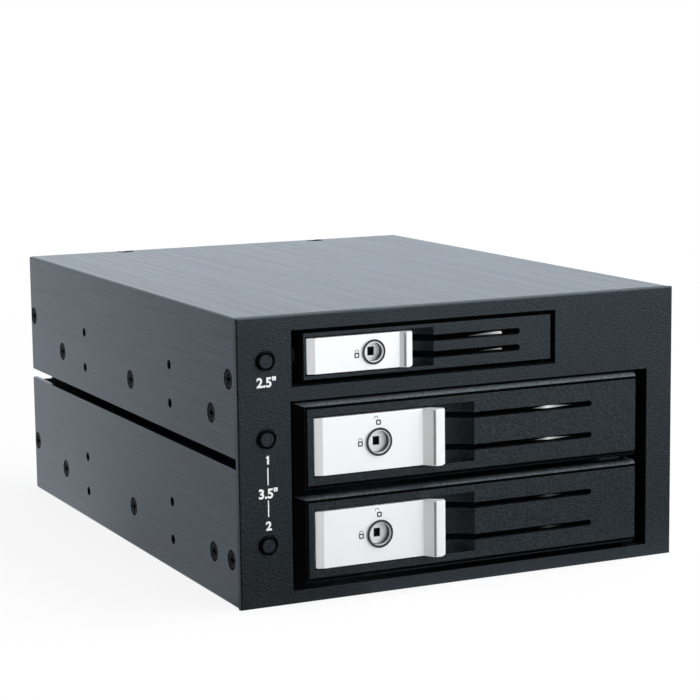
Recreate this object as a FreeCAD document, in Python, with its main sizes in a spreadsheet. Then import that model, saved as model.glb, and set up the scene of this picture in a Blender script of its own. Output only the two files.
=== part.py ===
import FreeCAD, Part
import os
import re
import Sketcher

# Drive cage for two stacked full-width bays: one small and two large drive bays behind hinged doors.
# Millimetres. X to the right, Y into the cage from the face of the bezel, Z up from the underside;
# each body is then set back by half the depth, so the origin lies at the centre of the underside.

doc = FreeCAD.newDocument("drive_cage")
sheet = doc.addObject("Spreadsheet::Sheet", "Sizes")

SIZES = {
    # outer shell
    "width": 146.0,
    "depth": 191.0,
    "skin": 1.5,
    "bend": 0.8,
    "rim": 2.0,
    "groove_below": 1.4,
    "groove_above": 1.7,
    "groove_depth": 6.7,
    # stack of doors, from the underside up
    "floor_margin": 5.5,
    "large_door_height": 26.0,
    "door_space": 1.35,
    "cross_bar": 5.85,
    "small_door_height": 14.6,
    "top_margin": 5.1,
    # rack holes, four to each half of each side
    "rack_front": 53.4,
    "rack_pitch_y": 79.25,
    "rack_pitch_z": 11.84,
    "rack_low": 9.8,
    "rack_bay": 42.5,
    "rack_hole": 1.5,
    "rack_clear": 3.0,
    # thin-head screws of the shell
    "head_radius": 2.8,
    "head_thick": 0.8,
    "head_sink": 0.9,
    "sink_radius": 3.0,
    "shank_radius": 1.45,
    "shank_hole": 1.5,
    "shank_length": 5.0,
    "row_first": 20.0,
    "row_last_inset": 34.6,
    "row_low": 13.3,
    "row_drop": 5.75,
    "front_screw_y": 6.5,
    "front_screw_low": 13.6,
    "front_screw_drop": 18.0,
    "rear_screw_inset": 3.2,
    "rear_screw_low": 17.9,
    "rear_screw_drop": 21.1,
    "top_screw_x": 37.8,
    # shared clearances: sliding fit, running fit, run of an added rib into its wall, overrun of a cut
    "fit": 0.1,
    "running": 0.05,
    "tuck": 0.5,
    "over": 1.0,
    # bezel
    "bezel_edge": 0.5,
    "bezel_plate": 3.0,
    "bezel_depth": 12.0,
    "bezel_wall": 2.0,
    "tunnel_depth": 9.0,
    "tunnel_wall": 1.5,
    # inner sheet metal and drive guides
    "plate": 1.2,
    "frame_front": 13.2,
    "tray_flange": 18.0,
    "flange_drop": 12.2,
    "bay_half": 51.2,
    "bay_drop": 13.5,
    "bay_room": 26.5,
    "roof_ledge": 1.5,
    "guide_web": 3.2,
    "guide_ledge": 4.2,
    "guide_foot": 7.0,
    "guide_foot_thick": 1.6,
    "guide_gap": 4.0,
    "ledge_thick": 0.7,
    "small_bay_inset": 3.4,
    "small_bay_width": 70.4,
    "small_lift": 3.2,
    "small_room": 14.8,
    "small_rib": 1.0,
    "cradle_web": 3.0,
    "cradle_length": 97.8,
    "cradle_lap": 5.0,
    # large doors
    "large_door_inset": 17.35,
    "large_door_margin": 14.15,
    "large_door_proud": 2.0,
    "large_door_depth": 9.0,
    "large_bevel_left": 2.5,
    "large_bevel_right": 0.4,
    "large_bevel_top": 1.0,
    "large_bevel_depth": 2.1,
    "large_wall": 1.8,
    "large_hinge_inset": 2.2,
    "large_hinge_depth": 2.4,
    "large_gap_left": 0.95,
    "large_gap_right": 4.95,
    "large_gap_low": 1.6,
    "large_gap_high": 0.65,
    "large_lever_inset": 5.55,
    "large_lever_plate": 34.65,
    "large_lever_ramp": 2.0,
    "large_lever_lip": 3.9,
    "large_lip_proud": 4.0,
    "large_lever_height": 16.8,
    "large_pivot_in": 3.45,
    "large_pivot_depth": 2.6,
    "large_pivot_sweep": 4.6,
    "large_hook_half": 3.0,
    "large_hook_front": 4.8,
    "large_lock_in": 20.15,
    "large_lock_radius": 4.1,
    "large_cam_reach": 6.2,
    "large_scoop_length": 11.6,
    "large_scoop_depth": 5.0,
    "large_scoop_height": 18.0,
    "large_slot_margin": 16.3,
    "large_slot_offset": 4.85,
    # small door
    "small_door_inset": 19.8,
    "small_door_width": 83.4,
    "small_door_proud": 0.0,
    "small_door_depth": 8.5,
    "small_bevel_left": 0.9,
    "small_bevel_right": 0.9,
    "small_bevel_top": 0.6,
    "small_bevel_depth": 3.5,
    "small_wall": 1.2,
    "small_hinge_inset": 3.0,
    "small_hinge_depth": 2.2,
    "small_gap_left": 2.6,
    "small_gap_right": 0.5,
    "small_gap_low": 0.7,
    "small_gap_high": 0.4,
    "small_lever_inset": 2.0,
    "small_lever_plate": 29.4,
    "small_lever_ramp": 0.9,
    "small_lever_lip": 2.9,
    "small_lip_proud": 2.0,
    "small_lever_height": 10.4,
    "small_pivot_in": 3.0,
    "small_pivot_depth": 2.4,
    "small_pivot_sweep": 4.1,
    "small_hook_half": 2.0,
    "small_hook_front": 4.3,
    "small_lock_in": 20.8,
    "small_lock_radius": 3.6,
    "small_cam_reach": 4.4,
    "small_scoop_length": 7.6,
    "small_scoop_depth": 4.4,
    "small_scoop_height": 11.4,
    "small_slot_margin": 11.7,
    "small_slot_offset": 2.45,
    # shared by the doors
    "door_front": 2.2,
    "rim_land": 0.15,
    "rim_groove": 0.7,
    "rim_groove_depth": 0.8,
    "liner_thick": 1.5,
    "liner_gap": 0.3,
    "vent_inset": 4.0,
    "hinge_pin": 0.8,
    "knuckle": 2.0,
    "lever_pin": 0.8,
    "lever_gap": 0.5,
    "scoop_floor": 1.4,
    "scoop_lead": 1.5,
    "scoop_tail": 2.5,
    "slot_height": 1.4,
    "guide_lead": 3.5,
    "guide_tail": 2.0,
    "guide_thick": 1.6,
    "guide_sunk": 0.8,
    "pad_thick": 0.8,
    "pad_width": 10.0,
    # levers and locks
    "lever_proud": 0.6,
    "lever_edge": 0.4,
    "lever_back": 1.6,
    "lever_chamfer": 2.3,
    "lever_knuckle": 2.2,
    "lip_drop": 0.3,
    "lip_groove": 0.6,
    "lip_round": 0.7,
    "lip_thick": 2.0,
    "hook_thick": 1.6,
    "collar_rim": 0.4,
    "collar_proud": 0.5,
    "collar_wall": 0.45,
    "lock_length": 5.4,
    "plug_sunk": 2.2,
    "plug_tail": 0.3,
    "key_width": 2.2,
    "key_height": 2.6,
    "key_deep": 2.5,
    "cam_thick": 1.2,
    "stub_radius": 1.2,
    # buttons and their switches
    "button_inset": 8.7,
    "button_small_drop": 0.2,
    "button_upper_rise": 3.45,
    "button_lower_drop": 0.2,
    "button_radius": 2.6,
    "button_proud": 0.9,
    "button_ring": 0.5,
    "button_flange": 3.3,
    "button_travel": 0.6,
    "flange_gap": 0.4,
    "flange_thick": 0.7,
    "stem_radius": 1.2,
    "stem_end": 5.0,
    "switch_front": 5.9,
    "switch_size": 6.0,
    "switch_board_left": 4.4,
    "switch_board_right": 5.4,
    "switch_board_end": 6.0,
    # rear panel, boards and sockets
    "notch_gap": 1.0,
    "fold_gap": 3.0,
    "fold_reach": 9.0,
    "tab_half": 50.0,
    "board_thick": 1.6,
    "board_setback": 26.0,
    "board_gap": 2.0,
    "board_inset": 21.0,
    "board_fan_gap": 4.0,
    "board_low": 5.0,
    "board_head": 3.9,
    "standoff": 2.5,
    "standoff_inset": 4.0,
    "socket_x": -20.7,
    "socket_width": 42.0,
    "socket_height": 6.0,
    "socket_depth": 9.0,
    "socket_lift": 1.5,
    "socket_tail": 3.0,
    "tongue_inset": 3.0,
    "small_board_lift": 1.4,
    "small_board_inset": 5.8,
    "small_board_width": 58.0,
    "small_board_lap": 2.0,
    "link_wall": 2.0,
    "link_slot": 5.0,
    "port_reach": 1.2,
    "port_gap": 0.3,
    "port_in": 20.0,
    "port_width": 15.0,
    "port_height": 6.0,
    "port_deep": 4.0,
    "power_in": 49.0,
    "power_width": 22.0,
    "power_height": 8.5,
    "power_deep": 6.0,
    # fan
    "fan_inset": 27.0,
    "fan_drop": 2.2,
    "fan_size": 40.0,
    "fan_depth": 10.0,
    "fan_wall": 1.2,
    "fan_hole_inset": 4.0,
    "fan_hub": 9.0,
    "fan_floor": 2.0,
    "fan_shaft": 1.0,
    "strut_half": 1.2,
    "rotor_gap": 0.5,
    "blade_thick": 1.2,
    "blade_rise": 4.0,
    "blade_tip_gap": 1.4,
    "fan_blades": 7,
    "wire": 1.2,
}

for row, (alias, value) in enumerate(SIZES.items(), 1):
    sheet.set(f"A{row}", alias)
    sheet.set(f"B{row}", str(value))
    sheet.setAlias(f"B{row}", alias)
doc.recompute()

# Levels and places that follow from the sizes: heights from the stack of doors, the rest from the shell.
WORKED_OUT = {
    "lower_mid": "floor_margin + large_door_height / 2",
    "upper_mid": "lower_mid + large_door_height + door_space",
    "small_mid": "upper_mid + (large_door_height + small_door_height) / 2 + cross_bar",
    "height": "small_mid + small_door_height / 2 + top_margin",
    "half_width": "width / 2",
    "inner_half": "half_width - skin",
    "panel_half": "inner_half - fit",
    "plate_half": "panel_half - plate",
    "panel_front": "depth - plate",
    "panel_low": "skin + fit",
    "panel_high": "height - skin - fit",
    "groove_low": "height / 2 - groove_below",
    "groove_high": "height / 2 + groove_above",
    "row_last": "depth - row_last_inset",
    "row_middle": "(row_first + row_last) / 2",
    "row_high": "shelf_low - row_drop",
    "front_screw_high": "height - front_screw_drop",
    "rear_screw_y": "depth - rear_screw_inset",
    "rear_screw_high": "height - rear_screw_drop",
    "tray_top": "skin + plate",
    "lower_floor": "lower_mid - bay_drop",
    "upper_floor": "upper_mid - bay_drop",
    "lower_roof": "upper_floor - ledge_thick",
    "upper_roof": "upper_floor + bay_room",
    "shelf_low": "upper_roof + roof_ledge",
    "shelf_top": "shelf_low + plate",
    "shelf_flange": "shelf_low - flange_drop",
    "small_floor": "shelf_top + small_lift",
    "small_roof": "small_floor + small_room",
    "large_door_left": "large_door_inset - half_width",
    "large_door_right": "half_width - large_door_margin",
    "small_door_left": "small_door_inset - half_width",
    "small_door_right": "small_door_left + small_door_width",
    "small_bay_left": "small_door_left + small_bay_inset",
    "small_bay_right": "small_bay_left + small_bay_width",
    "button_x": "button_inset - half_width",
    "button_small": "small_mid - button_small_drop",
    "button_upper": "upper_mid + button_upper_rise",
    "button_lower": "lower_mid - button_lower_drop",
    "switch_board_front": "switch_front + switch_size / 2",
    "board_front": "depth - board_setback",
    "board_back": "board_front + board_thick",
    "board_left": "board_inset - half_width",
    "board_right": "fan_x - fan_size / 2 - board_fan_gap",
    "board_high": "height - board_head",
    "frame_back": "board_front - board_gap",
    "socket_front": "board_front - socket_depth",
    "guide_back": "socket_front - guide_gap",
    "cradle_back": "frame_front + cradle_length",
    "small_socket_front": "cradle_back - cradle_lap",
    "small_board_front": "small_socket_front + socket_depth - small_board_lap",
    "small_board_low": "small_floor + small_board_lift",
    "small_board_high": "small_board_low + board_thick",
    "small_board_left": "small_bay_left + small_board_inset",
    "small_board_right": "small_board_left + small_board_width",
    "port_x": "board_left + port_in",
    "power_x": "board_left + power_in",
    "fan_x": "half_width - fan_inset",
    "fan_z": "height / 2 - fan_drop",
    "fan_bore": "fan_size / 2 - fan_wall",
    "fan_hole": "fan_size / 2 - fan_hole_inset",
    "fan_front": "panel_front - fan_depth",
    "fan_base": "panel_front - fan_floor",
}
for kind in ("small", "large"):
    WORKED_OUT |= {
        f"{kind}_hinge_x": f"{kind}_door_right - {kind}_hinge_inset",
        f"{kind}_lever_left": f"{kind}_door_left + {kind}_lever_inset",
        f"{kind}_lever_step": f"{kind}_lever_left + {kind}_lever_plate",
        f"{kind}_lever_crest": f"{kind}_lever_step + {kind}_lever_ramp",
        f"{kind}_lever_tip": f"{kind}_lever_crest + {kind}_lever_lip",
        f"{kind}_pivot_x": f"{kind}_lever_left + {kind}_pivot_in",
        f"{kind}_lock_x": f"{kind}_lever_left + {kind}_lock_in",
        f"{kind}_scoop_end": f"{kind}_lever_tip + {kind}_scoop_length",
        f"{kind}_slot_end": f"{kind}_door_right - {kind}_slot_margin",
        f"{kind}_liner_front": f"{kind}_door_depth - liner_thick",
    }

PLANES = {"XY": "XY_Plane", "XZ": "XZ_Plane", "YZ": "YZ_Plane"}
CLOSE = 0.01


def bound(text):
    """An expression over the sizes, written out over the sheet's cells as FreeCAD reads it."""
    def cell(match):
        word = match[0]
        if word in WORKED_OUT:
            return f"({bound(WORKED_OUT[word])})"
        return f"Sizes.{word}" if word in SIZES else word

    return re.sub(r"[a-z_]+", cell, str(text))


def number(text):
    """The present value of such an expression."""
    return float(sheet.evalExpression(bound(text)))


def new_body(label, proud="0"):
    """An empty body, set back by half the cage's depth and forward by what it stands proud."""
    body = doc.addObject("PartDesign::Body", label)
    body.AllowCompound = True
    body.setExpression("Placement.Base.y", bound(f"-depth / 2 - {proud}"))
    return body


def fix(sketch, kind, geometry, point, text):
    """Hold one coordinate of a sketch point at an expression's value."""
    rule = Sketcher.Constraint(kind, -1, 1, geometry, point, number(text))
    sketch.setExpression(f"Constraints[{sketch.addConstraint(rule)}]", bound(text))


def add_polygon(sketch, corners):
    """A closed polygon through corners given as pairs of expressions."""
    first = sketch.GeometryCount
    points = [FreeCAD.Vector(number(a), number(b), 0) for a, b in corners]
    count = len(points)
    for i in range(count):
        sketch.addGeometry(Part.LineSegment(points[i], points[(i + 1) % count]))
    for i in range(count):
        sketch.addConstraint(Sketcher.Constraint("Coincident", first + i, 2, first + (i + 1) % count, 1))
    for i, (a, b) in enumerate(corners):
        fix(sketch, "DistanceX", first + i, 1, a)
        fix(sketch, "DistanceY", first + i, 1, b)


def add_circle(sketch, a, b, radius):
    """A circle from its centre and radius, all three expressions."""
    centre = FreeCAD.Vector(number(a), number(b), 0)
    index = sketch.addGeometry(Part.Circle(centre, FreeCAD.Vector(0, 0, 1), number(radius)))
    fix(sketch, "DistanceX", index, 3, a)
    fix(sketch, "DistanceY", index, 3, b)
    rule = sketch.addConstraint(Sketcher.Constraint("Radius", index, number(radius)))
    sketch.setExpression(f"Constraints[{rule}]", bound(radius))


def draw(body, plane, level, loops):
    """A sketch parallel to an origin plane at a level, with polygons and (a, b, radius) circles."""
    sketch = body.newObject("Sketcher::SketchObject", body.Name + "_sketch")
    support = next(f for f in body.Origin.OriginFeatures if f.Role == PLANES[plane])
    sketch.AttachmentSupport = [(support, "")]
    sketch.MapMode = "FlatFace"
    offset = f"-({level})" if plane == "XZ" else level
    sketch.setExpression("AttachmentOffset.Base.z", bound(offset))
    for loop in loops:
        if isinstance(loop, tuple):
            add_circle(sketch, *loop)
        else:
            add_polygon(sketch, loop)
    return sketch


def add(body, plane, low, high, *loops):
    """Pad the loops from low to high along the plane's own axis."""
    pad = body.newObject("PartDesign::Pad", body.Name + "_pad")
    pad.Profile = draw(body, plane, low, loops)
    pad.setExpression("Length", bound(f"({high}) - ({low})"))
    pad.Reversed = plane == "XZ"
    doc.recompute()
    return pad


def cut(body, plane, low, high, *loops):
    """Pocket the loops between low and high along the plane's own axis."""
    pocket = body.newObject("PartDesign::Pocket", body.Name + "_pocket")
    pocket.Profile = draw(body, plane, low if plane == "XZ" else high, loops)
    pocket.setExpression("Length", bound(f"({high}) - ({low})"))
    doc.recompute()


def fillet(body, radius, chosen):
    """Round the edges whose two ends both pass a test."""
    base = body.Tip
    names = [
        f"Edge{i}"
        for i, edge in enumerate(base.Shape.Edges, 1)
        if len(edge.Vertexes) == 2 and all(chosen(v.Point) for v in edge.Vertexes)
    ]
    feature = body.newObject("PartDesign::Fillet", body.Name + "_fillet")
    feature.Base = (base, names)
    feature.setExpression("Radius", bound(radius))
    doc.recompute()


def rect(a0, a1, b0, b1):
    """The four corners of a rectangle."""
    return [(a0, b0), (a1, b0), (a1, b1), (a0, b1)]


def about(middle, reach):
    """The two ends of a stretch centred on a place."""
    return f"{middle} - {reach}", f"{middle} + {reach}"


def grown(corners, by):
    """A rectangle grown on all four sides."""
    (a0, b0), _, (a1, b1), _ = corners
    return rect(f"{a0} - {by}", f"{a1} + {by}", f"{b0} - {by}", f"{b1} + {by}")


def discs(centres, radius):
    """Circles of one radius at several centres."""
    return [(a, b, radius) for a, b in centres]


# Shell: two folded sheets with a groove between their sides, rack holes and thin-head screws.
ROW = ("row_first", "row_middle", "row_last")


def side_screws(half):
    """Centres (Y, Z) of the five shell screws on one side of the upper or the lower half."""
    row = [(y, f"row_{half}") for y in ROW]
    return row + [("front_screw_y", f"front_screw_{half}"), ("rear_screw_y", f"rear_screw_{half}")]


def rack_row(bay, step):
    """Centres (Y, Z) of the two rack holes of one row above a bay's own floor."""
    z = f"{bay} + rack_low + {step} * rack_pitch_z"
    return [("rack_front", z), ("rack_front + rack_pitch_y", z)]


def cover(label, flat, edge, inner, half, bay):
    """A folded sheet: a flat deck and two sides that end at the groove, with its holes."""
    body = new_body(label)
    outline = [("-half_width", edge), ("-half_width", flat), ("half_width", flat), ("half_width", edge)]
    outline += [("inner_half", edge), ("inner_half", inner), ("-inner_half", inner), ("-inner_half", edge)]
    add(body, "XZ", "rim", "depth", outline)
    wide = number("half_width")
    level = number(flat)
    fillet(body, "bend", lambda p: abs(abs(p.x) - wide) < CLOSE and abs(p.z - level) < CLOSE)
    left, right = "-half_width - over", "half_width + over"
    spots = side_screws(half)
    cut(body, "YZ", left, right, *discs(rack_row(bay, 0) + rack_row(bay, 1), "rack_hole"))
    cut(body, "YZ", left, right, *discs(spots, "shank_hole"))
    cut(body, "YZ", left, "head_sink - half_width", *discs(spots, "sink_radius"))
    cut(body, "YZ", "half_width - head_sink", right, *discs(spots, "sink_radius"))
    return body


cover("bottom_cover", "0", "groove_low", "skin", "low", "0")
lid = cover("top_cover", "height", "groove_high", "height - skin", "high", "rack_bay")
TOP_SCREWS = [("-top_screw_x", "rear_screw_y"), ("top_screw_x", "rear_screw_y")]
cut(lid, "XY", "height - skin - over", "height + over", *discs(TOP_SCREWS, "shank_hole"))
cut(lid, "XY", "height - head_sink", "height + over", *discs(TOP_SCREWS, "sink_radius"))

screws = new_body("cover_screws")
for half in ("low", "high"):
    spots = side_screws(half)
    seat = "(half_width - head_sink)"
    add(screws, "YZ", f"-{seat}", f"-{seat} + shank_length", *discs(spots, "shank_radius"))
    add(screws, "YZ", f"-{seat} - head_thick", f"-{seat}", *discs(spots, "head_radius"))
    add(screws, "YZ", f"{seat} - shank_length", seat, *discs(spots, "shank_radius"))
    add(screws, "YZ", seat, f"{seat} + head_thick", *discs(spots, "head_radius"))
seat = "(height - head_sink)"
add(screws, "XY", f"{seat} - shank_length", seat, *discs(TOP_SCREWS, "shank_radius"))
add(screws, "XY", seat, f"{seat} + head_thick", *discs(TOP_SCREWS, "head_radius"))

# Bezel: a plate with a rim outside the shell, a wall inside it and a tunnel round each window.
DOORS = {"small": "small", "upper": "large", "lower": "large"}


def window(kind, low, high):
    """The bezel's window round the doors of one kind, from the lowest to the highest door."""
    return rect(
        f"{kind}_door_left - {kind}_gap_left",
        f"{kind}_door_right + {kind}_gap_right",
        f"{low} - {kind}_door_height / 2 - {kind}_gap_low",
        f"{high} + {kind}_door_height / 2 + {kind}_gap_high",
    )


WINDOWS = {
    "small": window("small", "small_mid", "small_mid"),
    "large": window("large", "lower_mid", "upper_mid"),
}
BUTTONS = {name: ("button_x", f"button_{name}") for name in DOORS}
PAIRS = (("small", "upper"), ("upper", "lower"))
BOSSES = [("button_x", f"(button_{a} + button_{b}) / 2") for a, b in PAIRS]

bezel = new_body("front_bezel")
inset = rect("-panel_half", "panel_half", "panel_low", "panel_high")
add(bezel, "XZ", "0", "rim", rect("-half_width", "half_width", "0", "height"))
fillet(bezel, "bezel_edge", lambda p: abs(p.y) < CLOSE)
add(bezel, "XZ", "rim", "bezel_depth", inset)
cut(bezel, "XZ", "bezel_plate", "bezel_depth + over", grown(inset, "-bezel_wall"))
tunnels = [grown(corners, "tunnel_wall") for corners in WINDOWS.values()]
add(bezel, "XZ", "bezel_plate - tuck", "tunnel_depth", *tunnels)
add(bezel, "XZ", "bezel_plate - tuck", "switch_board_front", *discs(BOSSES, "standoff"))
cut(bezel, "XZ", "-over", "bezel_depth + over", *WINDOWS.values())
cut(bezel, "XZ", "-over", "bezel_plate + over", *discs(BUTTONS.values(), "button_radius + running"))
cut(bezel, "XZ", "-over", "button_ring", *discs(BUTTONS.values(), "button_radius + button_ring"))
for half in ("low", "high"):
    hole = ("front_screw_y", f"front_screw_{half}", "shank_hole")
    cut(bezel, "YZ", "-half_width - over", "bezel_wall + over - panel_half", hole)
    cut(bezel, "YZ", "panel_half - bezel_wall - over", "half_width + over", hole)
for kind, corners in WINDOWS.items():
    (_, low), _, (_, high), _ = grown(corners, "tunnel_wall")
    axis = (f"{kind}_hinge_x", f"{kind}_hinge_depth", "hinge_pin")
    cut(bezel, "XY", low, high, axis)
    pin = new_body(f"{kind}_hinge_pin")
    add(pin, "XY", low, high, axis)


# Inner sheet metal: a tray on the floor with its sides up, a shelf with its sides down.
def folded(label, deck, other, flange, half, bay):
    """A deck between two levels, with a side flange on each edge that ends at a given height."""
    body = new_body(label)
    outline = [("-panel_half", flange), ("-panel_half", deck), ("panel_half", deck), ("panel_half", flange)]
    outline += [("plate_half", flange), ("plate_half", other)]
    outline += [("-plate_half", other), ("-plate_half", flange)]
    add(body, "XZ", "frame_front", "frame_back", outline)
    holes = discs([(y, f"row_{half}") for y in ROW], "shank_hole")
    cut(body, "YZ", "-half_width", "half_width", *holes, *discs(rack_row(bay, 0), "rack_clear"))


folded("lower_tray", "skin", "tray_top", "tray_flange", "low", "0")
folded("mid_shelf", "shelf_top", "shelf_low", "shelf_flange", "high", "rack_bay")

# Drive guides: one extruded profile, a web with three ledges inward and two feet outward.
for side, s in (("left", "-1"), ("right", "1")):
    guide = new_body(f"{side}_drive_guide")
    face, ledge = f"{s} * bay_half", f"{s} * (bay_half - guide_ledge)"
    web, foot = f"{s} * (bay_half + guide_web)", f"{s} * (bay_half + guide_web + guide_foot)"
    outline = [(foot, "tray_top"), (ledge, "tray_top"), (ledge, "lower_floor"), (face, "lower_floor")]
    outline += [(face, "lower_roof"), (ledge, "lower_roof"), (ledge, "upper_floor"), (face, "upper_floor")]
    outline += [(face, "upper_roof"), (ledge, "upper_roof"), (ledge, "shelf_low"), (foot, "shelf_low")]
    outline += [(foot, "shelf_low - guide_foot_thick"), (web, "shelf_low - guide_foot_thick")]
    outline += [(web, "tray_top + guide_foot_thick"), (foot, "tray_top + guide_foot_thick")]
    add(guide, "XZ", "frame_front", "guide_back", outline)

# Cradle of the small bay: an open channel with a ledge at the foot and a rib at the top of each side.
cradle = new_body("small_drive_cradle")
right_half = [("small_bay_right + cradle_web", "shelf_top")]
right_half += [("small_bay_right + cradle_web", "small_roof + small_rib")]
right_half += [("small_bay_right - small_rib", "small_roof + small_rib")]
right_half += [("small_bay_right - small_rib", "small_roof"), ("small_bay_right", "small_roof")]
right_half += [("small_bay_right", "small_floor"), ("small_bay_right - guide_ledge", "small_floor")]
right_half += [("small_bay_right - guide_ledge", "shelf_top + plate")]
left_half = [(f"small_bay_left + small_bay_right - ({a})", b) for a, b in reversed(right_half)]
add(cradle, "XZ", "frame_front", "cradle_back", right_half + left_half)


def make_door(name, kind):
    """A hollow door, measured from its own face: bevelled front, lever opening, scoop, slots, knuckle."""
    mid, half = f"{name}_mid", f"{kind}_door_height / 2"
    left, right = f"{kind}_door_left", f"{kind}_door_right"
    top, bevel, proud = f"{kind}_bevel_top", f"{kind}_bevel_depth", f"{kind}_door_proud"
    rim_left, rim_right = f"{left} + {kind}_bevel_left", f"{right} - {kind}_bevel_right"
    back, wall, liner = f"{kind}_door_depth", f"{kind}_wall", f"{kind}_liner_front"
    tip, end, deep = f"{kind}_lever_tip", f"{kind}_scoop_end", f"{kind}_scoop_depth"
    hinge, pivot = f"{kind}_hinge_x", f"{kind}_pivot_x"
    hinge_y, pivot_y = f"{kind}_hinge_depth + {proud}", f"{kind}_pivot_depth"
    lever_half = f"({kind}_lever_height / 2 + lever_gap)"

    door = new_body(f"{name}_door", proud)
    outer = rect(left, right, *about(mid, half))
    face = rect(rim_left, rim_right, *about(mid, f"({half} - {top})"))
    inside = rect(rim_left, f"{right} - {wall}", *about(mid, f"({half} - {wall})"))
    add(door, "XZ", bevel, back, outer)
    front = door.newObject("PartDesign::AdditiveLoft", door.Name + "_loft")
    front.Profile = draw(door, "XZ", bevel, [outer])
    front.Sections = [draw(door, "XZ", "0", [face])]
    front.Ruled = True
    doc.recompute()
    cut(door, "XZ", "door_front", f"{back} + over", inside)
    for s in ("-1", "1"):
        rim = f"{mid} + {s} * ({half} - {wall} / 2)"
        inner = f"{mid} + {s} * {lever_half}"
        ear = rect(f"{pivot} - lever_knuckle", f"{pivot} + 3 * lever_knuckle", inner, rim)
        inner = f"{mid} + {s} * ({half} - {wall} - knuckle)"
        post = rect(f"{hinge} - 5 * knuckle", f"{hinge} - 3 * knuckle", inner, rim)
        add(door, "XZ", "door_front - tuck", liner, ear, post)

    # Groove inside the rim of a large door, on the three sides away from the hinge.
    if kind == "large":
        start, stop = f"{rim_left} + rim_land", f"{rim_right} - rim_land"
        low, high = about(mid, f"({half} - {top} - rim_land)")
        turn, sill, lintel = f"{start} + rim_groove", f"{low} + rim_groove", f"{high} - rim_groove"
        line = [(start, low), (stop, low), (stop, sill), (turn, sill)]
        line += [(turn, lintel), (stop, lintel), (stop, high), (start, high)]
        cut(door, "XZ", "-over", "rim_groove_depth", line)

    # Finger scoop: a block behind the front, dished by a drum whose rim leaves the face at its end.
    block = rect(f"{tip} - scoop_lead", f"{end} + scoop_tail", *about(mid, f"({half} - {wall} / 2)"))
    add(door, "XZ", "door_front - tuck", f"{deep} + scoop_floor", block)
    drum_y = f"({deep} ^ 2 - ({end} - {tip}) ^ 2) / (2 * {deep})"
    cut(door, "XY", *about(mid, f"{kind}_scoop_height / 2"), (tip, drum_y, f"{deep} - {drum_y}"))

    # Lever opening, with room for the lever's knuckle to turn behind the front.
    opening = rect(f"{kind}_lever_left - lever_gap", f"{tip} + lever_gap", *about(mid, lever_half))
    cut(door, "XZ", "-over", f"{deep} + fit", opening)
    cut(door, "XY", *about(mid, lever_half), (pivot, pivot_y, f"{kind}_pivot_sweep"))

    # Two vent slots with a round end.
    rows = about(mid, f"{kind}_slot_offset")
    round_x = f"({kind}_slot_end - slot_height / 2)"
    slots = [rect(tip, round_x, *about(z, "slot_height / 2")) for z in rows]
    cut(door, "XZ", "-over", f"{deep} + tuck", *slots)
    cut(door, "XZ", "-over", "door_front + tuck", *[(round_x, z, "slot_height / 2") for z in rows])

    # Way out for the lever's hook, then the hinge knuckle and the bores of both pins.
    way = rect(f"{left} - over", f"{rim_left} + over", *about(mid, f"({kind}_hook_half + lever_gap)"))
    cut(door, "XZ", f"{kind}_hook_front - lever_gap", f"{back} + over", way)
    add(door, "XY", *about(mid, f"({half} - {top})"), (hinge, hinge_y, "knuckle"))
    cut(door, "XY", *about(mid, f"({half} + over)"), (hinge, hinge_y, "hinge_pin + running"))
    pin_ends = about(mid, f"({half} - {wall} / 3)")
    cut(door, "XY", *pin_ends, (pivot, pivot_y, "lever_pin"))
    pin = new_body(f"{name}_lever_pin", proud)
    add(pin, "XY", *pin_ends, (pivot, pivot_y, "lever_pin"))

    # Back plate inside the walls, two rubber pads on it, and the light guide behind the slots.
    plate = new_body(f"{name}_door_liner", proud)
    reach = f"({half} - {wall} - liner_gap)"
    add(plate, "XZ", liner, back,
        rect(f"{pivot} + lever_knuckle + lever_gap", f"{hinge} - 2 * knuckle", *about(mid, reach)))
    near, far = f"{end} + vent_inset", f"{kind}_slot_end - vent_inset"
    vents = [rect(near, far, *about(z, "slot_height")) for z in rows]
    cut(plate, "XZ", f"{liner} - over", f"{back} + over", *vents)
    pads = new_body(f"{name}_door_pads", proud)
    spots = (f"{kind}_lock_x", f"({kind}_slot_end + guide_tail)")
    add(pads, "XZ", back, f"{back} + pad_thick",
        *[rect(*about(x, "pad_width / 2"), *about(mid, "slot_height")) for x in spots])
    guide = new_body(f"{name}_light_guide", proud)
    start = f"{end} + guide_lead"
    low, high = f"{rows[0]} - slot_height", f"{rows[1]} + slot_height"
    add(guide, "XZ", "door_front", "door_front + guide_thick",
        rect(start, f"{kind}_slot_end + guide_tail", low, high))
    add(guide, "XZ", "guide_sunk", "door_front + tuck",
        *[rect(start, f"{kind}_slot_end - slot_height", *about(z, "0.4 * slot_height")) for z in rows])


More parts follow.
